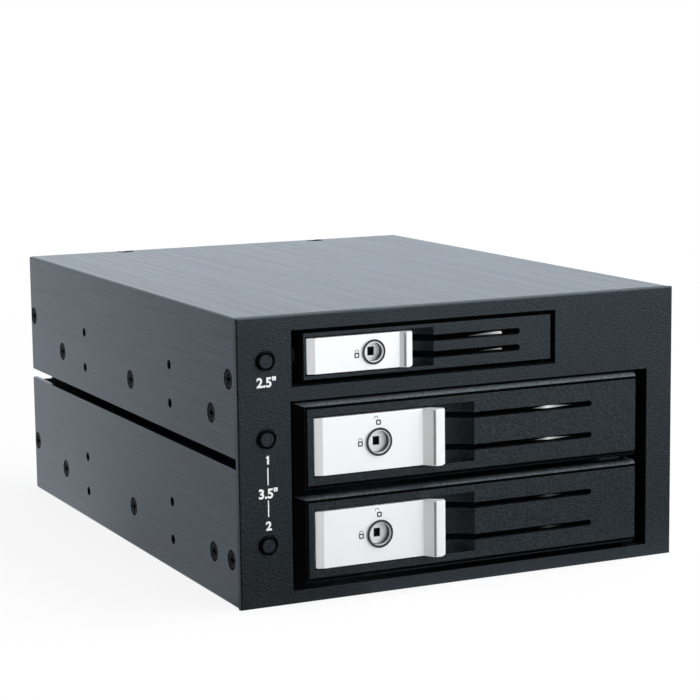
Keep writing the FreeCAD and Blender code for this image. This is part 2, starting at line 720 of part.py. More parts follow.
def make_lever(name, kind):
    """A cast lever: chamfered plate, rising step and rounded lip, with its knuckle and hook."""
    mid, half = f"{name}_mid", f"{kind}_lever_height / 2"
    left, step = f"{kind}_lever_left", f"{kind}_lever_step"
    crest, tip = f"{kind}_lever_crest", f"{kind}_lever_tip"
    pivot, depth = f"{kind}_pivot_x", f"{kind}_pivot_depth"
    lip, proud = f"{kind}_lip_proud", f"{kind}_door_proud"

    lever = new_body(f"{name}_lever", proud)
    outline = [(left, "lever_back"), (left, "lever_edge"), (f"{left} + lever_chamfer", "-lever_proud")]
    outline += [(step, "-lever_proud"), (crest, f"lip_drop - {lip}")]
    outline += [(f"{crest} + lip_groove / 2", f"lip_drop + lip_groove - {lip}")]
    outline += [(f"{crest} + lip_groove", f"-{lip}"), (f"{tip} - lip_round", f"-{lip}")]
    outline += [(tip, f"lip_round - {lip}"), (tip, f"lip_thick - {lip}"), (f"{step} + tuck", "lever_back")]
    add(lever, "XY", *about(mid, half), outline)
    edge = number(f"{tip} - 3 * lip_round")
    brow = number(f"lip_round - {lip}")
    fillet(lever, "lip_round", lambda p: p.x > edge and p.y < brow + CLOSE)
    add(lever, "XY", *about(mid, half), (pivot, depth, "lever_knuckle"))

    # Hook: an arm that runs behind the door's front and out through the notch in its side.
    reach = f"({kind}_door_left - {kind}_gap_left + lever_gap)"
    front, back = f"{kind}_hook_front", f"({kind}_hook_front + hook_thick)"
    bend = f"{kind}_door_left + {kind}_bevel_left + lever_gap"
    arm = [(pivot, f"{depth} - lever_knuckle / 2"), (left, "door_front + lever_gap"), (bend, front)]
    arm += [(reach, front), (reach, back), (f"{reach} + hook_thick", back)]
    arm += [(pivot, f"{depth} + lever_knuckle")]
    add(lever, "XY", *about(mid, f"{kind}_hook_half"), arm)
    cut(lever, "XY", *about(mid, f"({half} + over)"), (pivot, depth, "lever_pin + running"))

    # Lock: collar through the plate, plug sunk in it with its keyway, cam behind.
    lock_x, barrel = f"{kind}_lock_x", f"({kind}_lock_radius - collar_rim)"
    plug_radius = f"({barrel} - collar_wall)"
    face = "-lever_proud"
    cut(lever, "XZ", f"{face} - over", "lever_back + over", (lock_x, mid, barrel))
    collar = new_body(f"{name}_lock_collar", proud)
    add(collar, "XZ", face, "lock_length", (lock_x, mid, barrel))
    add(collar, "XZ", f"{face} - collar_proud", face, (lock_x, mid, f"{kind}_lock_radius"))
    cut(collar, "XZ", f"{face} - over", "lock_length + over", (lock_x, mid, f"{plug_radius} + running"))
    plug = new_body(f"{name}_lock_plug", proud)
    tail = "lock_length + cam_thick"
    end = f"{face} - collar_proud + plug_sunk"
    add(plug, "XZ", end, "lock_length", (lock_x, mid, plug_radius))
    add(plug, "XZ", "lock_length - tuck", f"{tail} + plug_tail", (lock_x, mid, "stub_radius"))
    key = rect(*about(lock_x, "key_width / 2"), *about(mid, "key_height / 2"))
    cut(plug, "XZ", f"{end} - over", f"{end} + key_deep", key)
    cam = new_body(f"{name}_lock_cam", proud)
    low = "lock_length + fit"
    arm = rect(lock_x, f"{lock_x} + {kind}_cam_reach", *about(mid, "stub_radius"))
    add(cam, "XZ", low, tail, (lock_x, mid, "2 * stub_radius"))
    add(cam, "XZ", low, tail, arm)
    cut(cam, "XZ", "lock_length", f"{tail} + over", (lock_x, mid, "stub_radius"))


for name, kind in DOORS.items():
    make_door(name, kind)
    make_lever(name, kind)

# Push-buttons with a flange behind the bezel, and the switches they press.
flange = "(bezel_plate + flange_gap)"
for name, (x, z) in BUTTONS.items():
    button = new_body(f"{name}_button")
    add(button, "XZ", "-button_proud", flange, (x, z, "button_radius"))
    add(button, "XZ", flange, f"{flange} + flange_thick", (x, z, "button_flange"))
    add(button, "XZ", flange, "stem_end", (x, z, "stem_radius"))
board = new_body("switch_board")
board_plan = rect("button_x - switch_board_left", "button_x + switch_board_right",
                  "button_lower - switch_board_end", "button_small + switch_board_end")
add(board, "XZ", "switch_board_front", "switch_board_front + board_thick", board_plan)
switches = new_body("tact_switches")
add(switches, "XZ", "switch_front", "switch_board_front",
    *[rect(*about(x, "switch_size / 2"), *about(z, "switch_size / 2")) for x, z in BUTTONS.values()])

# Rear panel: a plate with side notches at the groove, flanges folded forward and cut-outs.
panel = new_body("rear_panel")
notch = "(half_width - groove_depth)"
below, above = "groove_low - notch_gap", "groove_high + notch_gap"
right_half = [("panel_half", "panel_low"), ("panel_half", below), (notch, below), (notch, above)]
right_half += [("panel_half", above), ("panel_half", "panel_high")]
add(panel, "XZ", "panel_front", "depth", right_half + [(f"-{a}", b) for a, b in reversed(right_half)])
fold = "panel_front - fold_reach"
for s in ("-1", "1"):
    for low, high in (("panel_low", "groove_low - fold_gap"), ("groove_high + fold_gap", "panel_high")):
        side = rect(f"{s} * panel_half", f"{s} * plate_half", low, high)
        add(panel, "XZ", fold, "panel_front + tuck", side)
tab = rect("-tab_half", "tab_half", "panel_high - plate", "panel_high")
add(panel, "XZ", fold, "panel_front + tuck", tab)
for half in ("low", "high"):
    cut(panel, "YZ", "-half_width", "half_width", ("rear_screw_y", f"rear_screw_{half}", "shank_hole"))
cut(panel, "XY", "panel_high - plate - over", "panel_high + over", *discs(TOP_SCREWS, "shank_hole"))

PILLARS = [
    (a, b)
    for a in ("board_left + standoff_inset", "board_right - standoff_inset")
    for b in ("board_low + standoff_inset", "board_high - standoff_inset")
]
FAN_SCREWS = [(a, b) for a in about("fan_x", "fan_hole") for b in about("fan_z", "fan_hole")]
PORTS = [
    rect(*about("port_x", "port_width / 2"), *about(f"({level} + socket_height)", "port_height / 2"))
    for level in ("lower_mid", "upper_mid", "small_floor")
]
POWER = [
    rect(*about("power_x", "power_width / 2"), *about(level, "power_height / 2"))
    for level in ("lower_mid", "upper_mid")
]
behind = "depth + over"
cut(panel, "XZ", "panel_front - over", behind, *[grown(p, "port_gap") for p in PORTS + POWER])
cut(panel, "XZ", "panel_front - over", behind, *discs(PILLARS + FAN_SCREWS, "shank_hole"))
cut(panel, "XZ", "panel_front - over", behind, ("fan_x", "fan_z", "fan_bore"))

rear = new_body("rear_screws")
add(rear, "XZ", "depth - shank_length", "depth + wire", *discs(PILLARS + FAN_SCREWS, "shank_radius"))
add(rear, "XZ", "depth", "depth + wire", *discs(PILLARS, "head_radius"))
add(rear, "XZ", "depth + wire", "depth + 2 * wire", *discs(FAN_SCREWS, "head_radius"))

# Boards and sockets: the tall backplane carries the large drives' sockets and the rear ports.
board = new_body("main_backplane")
add(board, "XZ", "board_front", "board_back", rect("board_left", "board_right", "board_low", "board_high"))
cut(board, "XZ", "board_front - over", "board_back + over", *discs(PILLARS, "shank_hole"))
pillars = new_body("backplane_standoffs")
add(pillars, "XZ", "board_back", "panel_front", *discs(PILLARS, "standoff"))
cut(pillars, "XZ", "depth - shank_length - over", "panel_front", *discs(PILLARS, "shank_radius"))


def make_socket(label, x, low, front, back, floor):
    """A drive connector: a shrouded housing with a flat tongue in its mouth."""
    socket = new_body(label)
    plan = rect(*about(x, "socket_width / 2"), low, f"{low} + socket_height")
    add(socket, "XZ", front, back, plan)
    cut(socket, "XZ", f"{front} - over", floor, grown(plan, "-plate"))
    middle = f"({low} + socket_height / 2)"
    tongue = rect(*about(x, "(socket_width / 2 - tongue_inset)"), *about(middle, "plate / 2"))
    add(socket, "XZ", f"{front} + over", f"{floor} + tuck", tongue)


for name in ("lower", "upper"):
    low = f"({name}_floor + socket_lift)"
    make_socket(f"{name}_drive_socket", "socket_x", low,
                "socket_front", "board_front", "board_front - plate")
ports = new_body("data_ports")
add(ports, "XZ", "board_back", "depth + port_reach", *PORTS)
cut(ports, "XZ", "depth - port_deep", "depth + port_reach + over", *[grown(p, "-plate") for p in PORTS])
power = new_body("power_ports")
add(power, "XZ", "board_back", "depth + port_reach", *POWER)
cut(power, "XZ", "depth - power_deep", "depth + port_reach + over", *[grown(p, "-plate") for p in POWER])

small_board = new_body("small_drive_board")
add(small_board, "XY", "small_board_low", "small_board_high",
    rect("small_board_left", "small_board_right", "small_board_front", "socket_front + link_slot"))
legs = new_body("small_board_standoffs")
LEGS = [
    (a, b)
    for a in ("small_board_left + standoff_inset", "small_board_right - standoff_inset")
    for b in ("small_board_front + standoff_inset", "socket_front - standoff_inset")
]
add(legs, "XY", "shelf_top", "small_board_low", *discs(LEGS, "standoff"))
make_socket("small_drive_socket", "(small_bay_left + small_bay_width / 2)", "small_board_high",
            "small_socket_front", "small_socket_front + socket_depth + socket_tail", "small_board_front")
link = new_body("board_link_socket")
edge = rect("small_board_left", "small_board_right", "small_board_low", "small_board_high")
add(link, "XZ", "socket_front", "board_front", grown(edge, "link_wall"))
cut(link, "XZ", "socket_front - over", "socket_front + link_slot", edge)

# Rear fan: square frame with a motor base on three struts, bladed rotor, wire guard outside.
frame = new_body("fan_frame")
square = rect(*about("fan_x", "fan_size / 2"), *about("fan_z", "fan_size / 2"))
add(frame, "XZ", "fan_front", "panel_front", square)
cut(frame, "XZ", "fan_front - over", behind, ("fan_x", "fan_z", "fan_bore"))
cut(frame, "XZ", "fan_front - over", behind, *discs(FAN_SCREWS, "shank_hole"))
add(frame, "XZ", "fan_base", "panel_front", ("fan_x", "fan_z", "fan_hub"))
add(frame, "XZ", "fan_base", "panel_front",
    rect(*about("fan_x", "(fan_bore + tuck)"), *about("fan_z", "strut_half")))
add(frame, "XZ", "fan_base", "panel_front",
    rect(*about("fan_x", "strut_half"), "fan_z", "fan_z + fan_bore + tuck"))
cut(frame, "XZ", "fan_base - over", "panel_front - tuck", ("fan_x", "fan_z", "fan_shaft + running"))

rotor = new_body("fan_rotor")
rotor.setExpression("Placement.Base.x", bound("fan_x"))
rotor.setExpression("Placement.Base.z", bound("fan_z"))
front, back = "(fan_front + rotor_gap)", "(fan_base - rotor_gap)"
add(rotor, "XZ", front, back, ("0", "0", "fan_hub"))
blade = [(f"{front} + tuck", "-blade_rise"), (f"{front} + tuck + blade_thick", "-blade_rise")]
blade += [(f"{back} - tuck", "blade_rise"), (f"{back} - tuck - blade_thick", "blade_rise")]
vane = add(rotor, "YZ", "fan_hub - over", "fan_bore - blade_tip_gap", blade)
ring = rotor.newObject("PartDesign::PolarPattern", "fan_rotor_ring")
ring.Originals = [vane]
ring.Axis = (next(f for f in rotor.Origin.OriginFeatures if f.Role == "Y_Axis"), [""])
ring.Angle = 360
ring.setExpression("Occurrences", bound("fan_blades"))
rotor.Tip = ring
doc.recompute()
add(rotor, "XZ", f"{back} - tuck", "panel_front - 2 * tuck", ("0", "0", "fan_shaft"))

guard = new_body("fan_guard")
for radius in ("fan_bore - wire", "0.62 * fan_bore", "0.34 * fan_bore"):
    outer, inner = ("fan_x", "fan_z", radius), ("fan_x", "fan_z", f"{radius} - wire")
    add(guard, "XZ", "depth", "depth + wire", outer, inner)
near, far = "(fan_hole - 0.7 * wire)", "(fan_hole + 0.7 * wire)"
for s in ("-1", "1"):
    bar = [(f"fan_x - {far}", f"fan_z - {s} * {near}"), (f"fan_x - {near}", f"fan_z - {s} * {far}")]
    bar += [(f"fan_x + {far}", f"fan_z + {s} * {near}"), (f"fan_x + {near}", f"fan_z + {s} * {far}")]
    add(guard, "XZ", "depth", "depth + wire", bar)
add(guard, "XZ", "depth", "depth + wire", *discs(FAN_SCREWS, "head_radius"))
cut(guard, "XZ", "depth - over", "depth + wire + over", *discs(FAN_SCREWS, "shank_hole"))

doc.recompute()
faults = [o.Name for o in doc.Objects if "Invalid" in o.State or "Error" in o.State]
if faults:
    raise RuntimeError("features that failed: " + ", ".join(faults))
os.makedirs("parts", exist_ok=True)
for body in doc.findObjects("PartDesign::Body"):
    if body.Shape.isNull() or not body.Shape.isValid():
        raise RuntimeError("no valid shape: " + body.Label)
    body.Shape.exportStep(f"parts/{body.Label}.step")
    print(body.Label, len(body.Shape.Solids), round(body.Shape.Volume), body.Shape.BoundBox)
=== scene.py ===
import bmesh
import bpy
import numpy as np
from mathutils import Matrix, Vector


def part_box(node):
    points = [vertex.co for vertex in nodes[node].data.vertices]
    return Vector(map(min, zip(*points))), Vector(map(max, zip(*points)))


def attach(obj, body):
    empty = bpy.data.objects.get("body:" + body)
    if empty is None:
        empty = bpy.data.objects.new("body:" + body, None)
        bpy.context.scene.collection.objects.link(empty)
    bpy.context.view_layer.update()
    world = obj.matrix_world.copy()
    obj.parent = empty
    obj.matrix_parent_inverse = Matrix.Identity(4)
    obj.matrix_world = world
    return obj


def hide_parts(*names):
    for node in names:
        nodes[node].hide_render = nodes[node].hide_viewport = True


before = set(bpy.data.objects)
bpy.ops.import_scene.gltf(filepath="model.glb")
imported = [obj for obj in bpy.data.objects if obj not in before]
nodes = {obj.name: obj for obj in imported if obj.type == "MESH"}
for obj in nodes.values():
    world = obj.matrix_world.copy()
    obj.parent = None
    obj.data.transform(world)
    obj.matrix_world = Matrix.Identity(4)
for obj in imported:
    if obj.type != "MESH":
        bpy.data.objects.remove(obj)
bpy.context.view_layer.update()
DOORS = ("small", "upper", "lower")

# Shell: two folded covers of aluminium sheet, brushed from front to back and anodised black.
# Each is bent over the cage from above or below, and a groove is left between their sides.


def new_finish(name, colour, roughness, sockets={}):
    """A material whose Principled shader carries these values on its own sockets."""
    made = bpy.data.materials.new(name)
    made.use_nodes = True
    shader = made.node_tree.nodes["Principled BSDF"]
    shader.inputs["Base Color"].default_value = (*colour, 1)
    shader.inputs["Roughness"].default_value = roughness
    for socket, value in sockets.items():
        shader.inputs[socket].default_value = value
    return made


def texture(made, kind, scale, stretch=(1, 1, 1), sockets={}):
    """A texture on Object coordinates, each axis multiplied by its stretch before the scale."""
    tree = made.node_tree
    where = tree.nodes.new("ShaderNodeTexCoord")
    mapping = tree.nodes.new("ShaderNodeMapping")
    mapping.inputs["Scale"].default_value = stretch
    grain = tree.nodes.new(kind)
    grain.inputs["Scale"].default_value = scale
    for socket, value in sockets.items():
        grain.inputs[socket].default_value = value
    tree.links.new(where.outputs["Object"], mapping.inputs["Vector"])
    tree.links.new(mapping.outputs["Vector"], grain.inputs["Vector"])
    return grain.outputs["Distance" if kind == "ShaderNodeTexVoronoi" else "Fac"]


def drive(made, source, socket, low, high, start=0.3, stop=0.7):
    """Carry a texture to one number of the shader, from low at start to high at stop."""
    tree = made.node_tree
    spread = tree.nodes.new("ShaderNodeMapRange")
    for name, value in (("From Min", start), ("From Max", stop), ("To Min", low), ("To Max", high)):
        spread.inputs[name].default_value = value
    tree.links.new(source, spread.inputs["Value"])
    tree.links.new(spread.outputs["Result"], tree.nodes["Principled BSDF"].inputs[socket])


def tint(made, source, dark, light, start=0.3, stop=0.7):
    """Carry a texture to the shader's colour, from dark at start to light at stop."""
    tree = made.node_tree
    ramp = tree.nodes.new("ShaderNodeValToRGB")
    ends = ramp.color_ramp.elements
    ends[0].position, ends[1].position = start, stop
    ends[0].color, ends[1].color = (*dark, 1), (*light, 1)
    tree.links.new(source, ramp.inputs["Fac"])
    tree.links.new(ramp.outputs["Color"], tree.nodes["Principled BSDF"].inputs["Base Color"])


def relief(made, source, height, edge):
    """Raise the surface by a texture, height metres from its lowest to its highest value,
    over corners broken to a radius of edge metres."""
    tree = made.node_tree
    corner = tree.nodes.new("ShaderNodeBevel")
    corner.inputs["Radius"].default_value = edge
    bump = tree.nodes.new("ShaderNodeBump")
    bump.inputs["Distance"].default_value = height
    tree.links.new(corner.outputs["Normal"], bump.inputs["Normal"])
    tree.links.new(source, bump.inputs["Height"])
    tree.links.new(bump.outputs["Normal"], tree.nodes["Principled BSDF"].inputs["Normal"])


def dress(made, *names):
    """Give CAD nodes a finish."""
    for name in names:
        for slot in nodes[name].material_slots:
            slot.material = made


STREAK = (1, 0.012, 1)
anodised = new_finish("anodised_brushed", (0.010, 0.011, 0.013), 0.22, {"Specular IOR Level": 0.33})
broad_streaks = texture(anodised, "ShaderNodeTexNoise", 560, STREAK, {"Detail": 6, "Roughness": 0.75})
fine_streaks = texture(anodised, "ShaderNodeTexNoise", 2600, STREAK, {"Detail": 3, "Roughness": 0.6})
tint(anodised, fine_streaks, (0.001, 0.0025, 0.005), (0.021, 0.037, 0.054), 0.36, 0.66)
drive(anodised, broad_streaks, "Roughness", 0.19, 0.26)
relief(anodised, fine_streaks, 3e-6, 0.00025)
dress(anodised, "top_cover", "bottom_cover")

# Shell screws: thin-head machine screws of black-oxide steel with a cross recess.
# Each head lies in a round sink of the cover, just below its face, and holds it to the piece inside.
HEAD = 0.0028
HEAD_THICK = 0.0008
SHANK = 0.00145
SHANK_LENGTH = 0.0058


def cross_screw(head, thick, shank, length):
    """Rows of a screw about +Z with its top at 0: from the floor of the recess out over the head,
    down its edge, in to the shank and to its end. The recess is a plus of half-width w and reach L:
    at an angle phi from the nearest arm its edge lies at L / cos phi where tan phi <= w / L,
    else at w / sin phi."""
    turn = np.arange(48) * 2 * np.pi / 48
    phi = np.abs((turn + np.pi / 4) % (np.pi / 2) - np.pi / 4)
    wide, reach, deep, edge = 0.16 * head, 0.56 * head, 0.28 * head, 0.07 * head
    recess = np.where(np.tan(phi) <= wide / reach, reach / np.cos(phi), wide / np.sin(np.maximum(phi, 1e-3)))
    ones = np.ones_like(turn)
    radii = [0 * ones, 0.75 * recess, recess, (recess + head) / 2, (head - edge) * ones, head * ones]
    radii += [head * ones, shank * ones, shank * ones, 0 * ones]
    levels = [-deep, -deep, 0, 0, 0, -edge, -thick, -thick, -length, -length]
    radius = np.array(radii)
    level = np.array(levels)[:, None] * ones
    return np.stack([radius * np.cos(turn), radius * np.sin(turn), level], -1)


def set_at(shape, centres, out, up):
    """Copies of a shape about +Z, carried to each centre with +Z along out and +Y along up."""
    axes = np.stack([np.cross(up, out), up, out])
    return np.asarray(centres)[:, None, None, :] + (shape @ axes)[None]


def piece(name, points, body, made, around=True, thick=None):
    """A mesh of one or more grids of points (copies, rows, columns, 3), riding on a body. around joins
    the last column of each grid to its first; thick is a vector that gives an open skin its back and
    its rim. Coinciding points are merged."""
    copies, rows, columns = points.shape[:3]
    index = np.arange(copies * rows * columns).reshape(copies, rows, columns)
    ring = np.concatenate([index, index[:, :, :1]], 2) if around else index
    corners = [(ring[:, :-1, :-1], ring[:, :-1, 1:], ring[:, 1:, 1:], ring[:, 1:, :-1])]
    if thick is not None:
        corners.append(tuple(corner + index.size for corner in reversed(corners[0])))
        edges = [ring[:, 0], ring[:, -1]]
        if not around:
            edges += [index[:, :, 0], index[:, :, -1]]
        for edge in edges:
            corners.append((edge[:, :-1], edge[:, 1:], edge[:, 1:] + index.size, edge[:, :-1] + index.size))
        points = np.concatenate([points, points + thick])
    quads = np.concatenate([np.stack(four, -1).reshape(-1, 4) for four in corners])
    mesh = bpy.data.meshes.new(name)
    mesh.from_pydata(points.reshape(-1, 3).tolist(), [], quads.tolist())
    work = bmesh.new()
    work.from_mesh(mesh)
    bmesh.ops.remove_doubles(work, verts=work.verts, dist=1e-7)
    bmesh.ops.recalc_face_normals(work, faces=work.faces)
    work.to_mesh(mesh)
    work.free()
    mesh.shade_smooth()
    mesh.set_sharp_from_angle(angle=np.radians(35))
    made_object = bpy.data.objects.new(name, mesh)
    bpy.context.scene.collection.objects.link(made_object)
    mesh.materials.append(made)
    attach(made_object, body)
    return made_object


screw_low, screw_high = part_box("cover_screws")
front_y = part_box("front_bezel")[0].y
rear_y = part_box("top_cover")[1].y
ROW_Y = (0.020, 0.0882, 0.1564)
ROW_Z = (0.0133, 0.0546)
FRONT_INSET, FRONT_Z = 0.0065, (0.0136, 0.0664)
REAR_INSET, REAR_Z = 0.0032, (0.0179, 0.0633)
TOP_X = (-0.0378, 0.0378)
screw_places = [(front_y + y, z) for z in ROW_Z for y in ROW_Y]
screw_places += [(front_y + FRONT_INSET, z) for z in FRONT_Z]
screw_places += [(rear_y - REAR_INSET, z) for z in REAR_Z]
LEFT, RIGHT, UP, BACK = np.array([-1, 0, 0]), np.array([1, 0, 0]), np.array([0, 0, 1]), np.array([0, 1, 0])
screw = cross_screw(HEAD, HEAD_THICK, SHANK, SHANK_LENGTH)
left_screws = set_at(screw, [(screw_low.x, y, z) for y, z in screw_places], LEFT, UP)
right_screws = set_at(screw, [(screw_high.x, y, z) for y, z in screw_places], RIGHT, UP)
top_screws = set_at(screw, [(x, rear_y - REAR_INSET, screw_high.z) for x in TOP_X], UP, BACK)
black_oxide = new_finish("black_oxide_steel", (0.003, 0.003, 0.004), 0.45, {"Specular IOR Level": 0.04})
oxide_cloud = texture(black_oxide, "ShaderNodeTexNoise", 900, sockets={"Detail": 4})
tint(black_oxide, oxide_cloud, (0.002, 0.002, 0.003), (0.005, 0.005, 0.006))
drive(black_oxide, oxide_cloud, "Roughness", 0.36, 0.55)
shell_screws = piece("shell_screws", np.concatenate([left_screws, right_screws, top_screws]),
                     "cage", black_oxide)
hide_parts("cover_screws")

# Bezel: one moulding of black plastic with a fine spark-eroded grain, pushed into the shell's front.
# Bay numbers and the lines that tie them to the buttons are pad-printed on it in white.
grained = new_finish("grained_black_plastic", (0.006, 0.0063, 0.007), 0.4,
                     {"Specular IOR Level": 0.46, "Specular Tint": (0.74, 0.90, 1.0, 1)})
spark = texture(grained, "ShaderNodeTexNoise", 1800, sockets={"Detail": 3, "Roughness": 0.65})
haze = texture(grained, "ShaderNodeTexNoise", 60, sockets={"Detail": 2})
tint(grained, spark, (0.0005, 0.0005, 0.0007), (0.018, 0.0195, 0.022), 0.42, 0.72)
drive(grained, haze, "Roughness", 0.36, 0.46)
relief(grained, spark, 1.7e-4, 0.00015)
dress(grained, "front_bezel")


def shade_strip(side, front, back, low, high, crown):
    """A thin strip on an upright wall at X = side, crowned outward by crown (1 - v^2) over its height."""
    y, v = np.meshgrid(np.linspace(front, back, 3), np.linspace(-1, 1, 9), indexing="ij")
    out = side + np.sign(side) * crown * (1 - v ** 2)
    return np.stack([out, y, (low + high) / 2 + v * (high - low) / 2], -1)


SLEEVE_START, SLEEVE_END = 0.0012, 0.0125
STRIP_CLEAR, STRIP_CROWN, STRIP_THICK = 0.00003, 0.00015, 0.00002
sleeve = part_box("lower_tray")[1].x
groove = (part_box("bottom_cover")[1].z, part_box("top_cover")[0].z)
# Painted shade: matt black strips on the sleeve's sides darken the front stretch of the groove between the
# covers, which lies in shade.
groove_shade = new_finish("painted_groove_shade", (0.002, 0.002, 0.002), 0.95, {"Specular IOR Level": 0.0})
tint(groove_shade, texture(groove_shade, "ShaderNodeTexNoise", 2500), (0.001, 0.001, 0.001), (0.003, 0.003, 0.003))
strips = np.stack([shade_strip(side * (sleeve + STRIP_CLEAR), front_y + SLEEVE_START, front_y + SLEEVE_END,
                          *groove, STRIP_CROWN) for side in (-1, 1)])
inward = STRIP_THICK * np.stack([RIGHT, LEFT])[:, None, None]
piece("groove_shade_strips", strips, "cage", groove_shade, around=False, thick=inward)

INK = 0.00002
INK_THICK = INK / 2 * BACK
BOLD = 0.00013
CAPITAL = 0.7
LABEL_X = -0.0640
LINE_WIDE = 0.00035
white_ink = new_finish("white_pad_print", (0.82, 0.82, 0.82), 0.55)
ink_cloud = texture(white_ink, "ShaderNodeTexNoise", 3000, sockets={"Detail": 2})
tint(white_ink, ink_cloud, (0.74, 0.74, 0.74), (0.88, 0.88, 0.88))


def printed(name, words, height, centre, made, body):
    """Thin lettering on the XZ plane, its capitals this high, centred on a point."""
    text = bpy.data.curves.new(name, "FONT")
    text.body = words
    text.align_x, text.align_y = "CENTER", "CENTER"
    text.size = height / CAPITAL
    text.offset = BOLD
    text.extrude = INK / 2
    holder = bpy.data.objects.new(name + "_text", text)
    mesh = bpy.data.meshes.new_from_object(holder)
    bpy.data.objects.remove(holder)
    flat = np.zeros(len(mesh.vertices) * 3)
    mesh.vertices.foreach_get("co", flat)
    flat = flat.reshape(-1, 3)
    middle = (flat.min(0) + flat.max(0)) / 2
    placed = np.stack([flat[:, 0] - middle[0], -flat[:, 2], flat[:, 1] - middle[1]], -1) + centre
    mesh.vertices.foreach_set("co", placed.ravel())
    mesh.name = name
    mesh.materials.clear()
    mesh.materials.append(made)
    label = bpy.data.objects.new(name, mesh)
    bpy.context.scene.collection.objects.link(label)
    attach(label, body)


face_y = front_y - INK
for name, words, height, z in (
    ("small_bay_number", '2.5"', 0.0027, 0.0657),
    ("large_bay_number", '3.5"', 0.0027, 0.0335),
    ("lower_bay_number", "2", 0.0025, 0.0240),
):
    printed(name, words, height, (LABEL_X, face_y, z), white_ink, "cage")


def numeral_one(height):
    """Outline of a figure one with a flag, from its foot round by the right: two rows, of its right
    and of its left edge, at the same number of heights. Sizes are parts of its height."""
    right = np.array([[0.17, 0], [0.17, 0.5], [0.17, 0.74], [0.17, 1.0]])
    left = np.array([[-0.09, 0], [-0.09, 0.69], [-0.26, 0.78], [-0.02, 1.0]])
    both = np.stack([left, right]) * height - (0, height / 2)
    return np.stack([both[..., 0], 0 * both[..., 0], both[..., 1]], -1)


def bar(width, low, high):
    """A flat upright stroke with round ends: half-width w at a height, narrowing as a circle at each end."""
    height = np.concatenate([low + width / 2 * (1 - np.cos(np.linspace(0, np.pi / 2, 6))),
                             high - width / 2 * (1 - np.cos(np.linspace(np.pi / 2, 0, 6)))])
    inset = np.clip(np.minimum(height - low, high - height) / (width / 2), 0, 1)
    half = width / 2 * np.sqrt(1 - (1 - inset) ** 2)
    return np.stack([np.stack([-half, 0 * half, height], -1), np.stack([half, 0 * half, height], -1)])


strokes = np.stack([bar(LINE_WIDE, 0.0359, 0.0410), bar(LINE_WIDE, 0.0266, 0.0315)])
strokes = strokes + (LABEL_X, face_y, 0)
piece("bay_lines", strokes, "cage", white_ink, around=False, thick=INK_THICK)
one = numeral_one(0.0025)[None] + (LABEL_X, face_y, 0.0432)
piece("upper_bay_number", one, "cage", white_ink, around=False, thick=INK_THICK)

# Hinge and lever pins: steel wire, blued black, pressed into the bezel and into the doors.
# The cams on the locks' tails are punched from the same blued steel.
blued_steel = new_finish("blued_steel", (0.003, 0.003, 0.004), 0.5, {"Specular IOR Level": 0.05})
bluing = texture(blued_steel, "ShaderNodeTexNoise", 1500, (1, 1, 0.1), {"Detail": 3})
tint(blued_steel, bluing, (0.002, 0.002, 0.003), (0.005, 0.005, 0.006))
drive(blued_steel, bluing, "Roughness", 0.45, 0.6)
dress(blued_steel, "small_hinge_pin", "large_hinge_pin", *[f"{n}_lever_pin" for n in DOORS],
      *[f"{n}_lock_cam" for n in DOORS])

# Inner tray, shelf and rear panel: zinc-plated steel sheet, punched and folded.
zinc = new_finish("zinc_plated_steel", (0.5, 0.51, 0.52), 0.42, {"Metallic": 1.0})
spangle = texture(zinc, "ShaderNodeTexVoronoi", 260)
tint(zinc, spangle, (0.42, 0.43, 0.44), (0.56, 0.57, 0.58), 0.0, 0.8)
drive(zinc, spangle, "Roughness", 0.36, 0.5, 0.0, 0.8)
dress(zinc, "lower_tray", "mid_shelf", "rear_panel")

# Rear screws: pan-head machine screws with a cross recess, through the panel into standoffs and fan.
rear_low, rear_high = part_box("rear_screws")
fan_low, fan_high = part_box("fan_frame")
board_low, board_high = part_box("main_backplane")
FAN_HOLE_INSET = 0.004
BOARD_HOLE_INSET = 0.004
PAN_THICK = 0.0012
fan_spots = [(x, rear_high.y, z) for x in (fan_low.x + FAN_HOLE_INSET, fan_high.x - FAN_HOLE_INSET)
             for z in (fan_low.z + FAN_HOLE_INSET, fan_high.z - FAN_HOLE_INSET)]
board_spots = [(x, rear_high.y - PAN_THICK, z)
               for x in (board_low.x + BOARD_HOLE_INSET, board_high.x - BOARD_HOLE_INSET)
               for z in (board_low.z + BOARD_HOLE_INSET, board_high.z - BOARD_HOLE_INSET)]
fan_screw = cross_screw(HEAD, PAN_THICK, SHANK, rear_high.y - rear_low.y)
board_screw = cross_screw(HEAD, PAN_THICK, SHANK, rear_high.y - PAN_THICK - rear_low.y)
panel_screws = piece("panel_screws", np.concatenate([set_at(fan_screw, fan_spots, BACK, UP),
                                                     set_at(board_screw, board_spots, BACK, UP)]),
                     "cage", black_oxide)
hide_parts("rear_screws")

# Drive guides and cradle: black plastic rails with a satin skin, held between tray, shelf and lid.
satin_black = new_finish("satin_black_plastic", (0.014, 0.014, 0.015), 0.4, {"Specular IOR Level": 0.4})
flow = texture(satin_black, "ShaderNodeTexNoise", 180, (1, 0.2, 1), {"Detail": 5})
tint(satin_black, flow, (0.010, 0.010, 0.011), (0.02, 0.02, 0.021))
drive(satin_black, flow, "Roughness", 0.34, 0.48)
dress(satin_black, "left_drive_guide", "right_drive_guide", "small_drive_cradle")

# Doors: hollow mouldings in the bezel's grained plastic, with a screwed back plate and two rubber pads.
# The large ones have a rounded bead along the top, coloured lighter as a painted highlight. Matt black
# painted shade lines the large doors' rims and left bevels, all the slots and scoops, and the gap round the
# small door's window: it stands for the shade in those grooves, slots and gaps.
dress(grained, *[f"{n}_door" for n in DOORS])
dress(satin_black, *[f"{n}_door_liner" for n in DOORS])


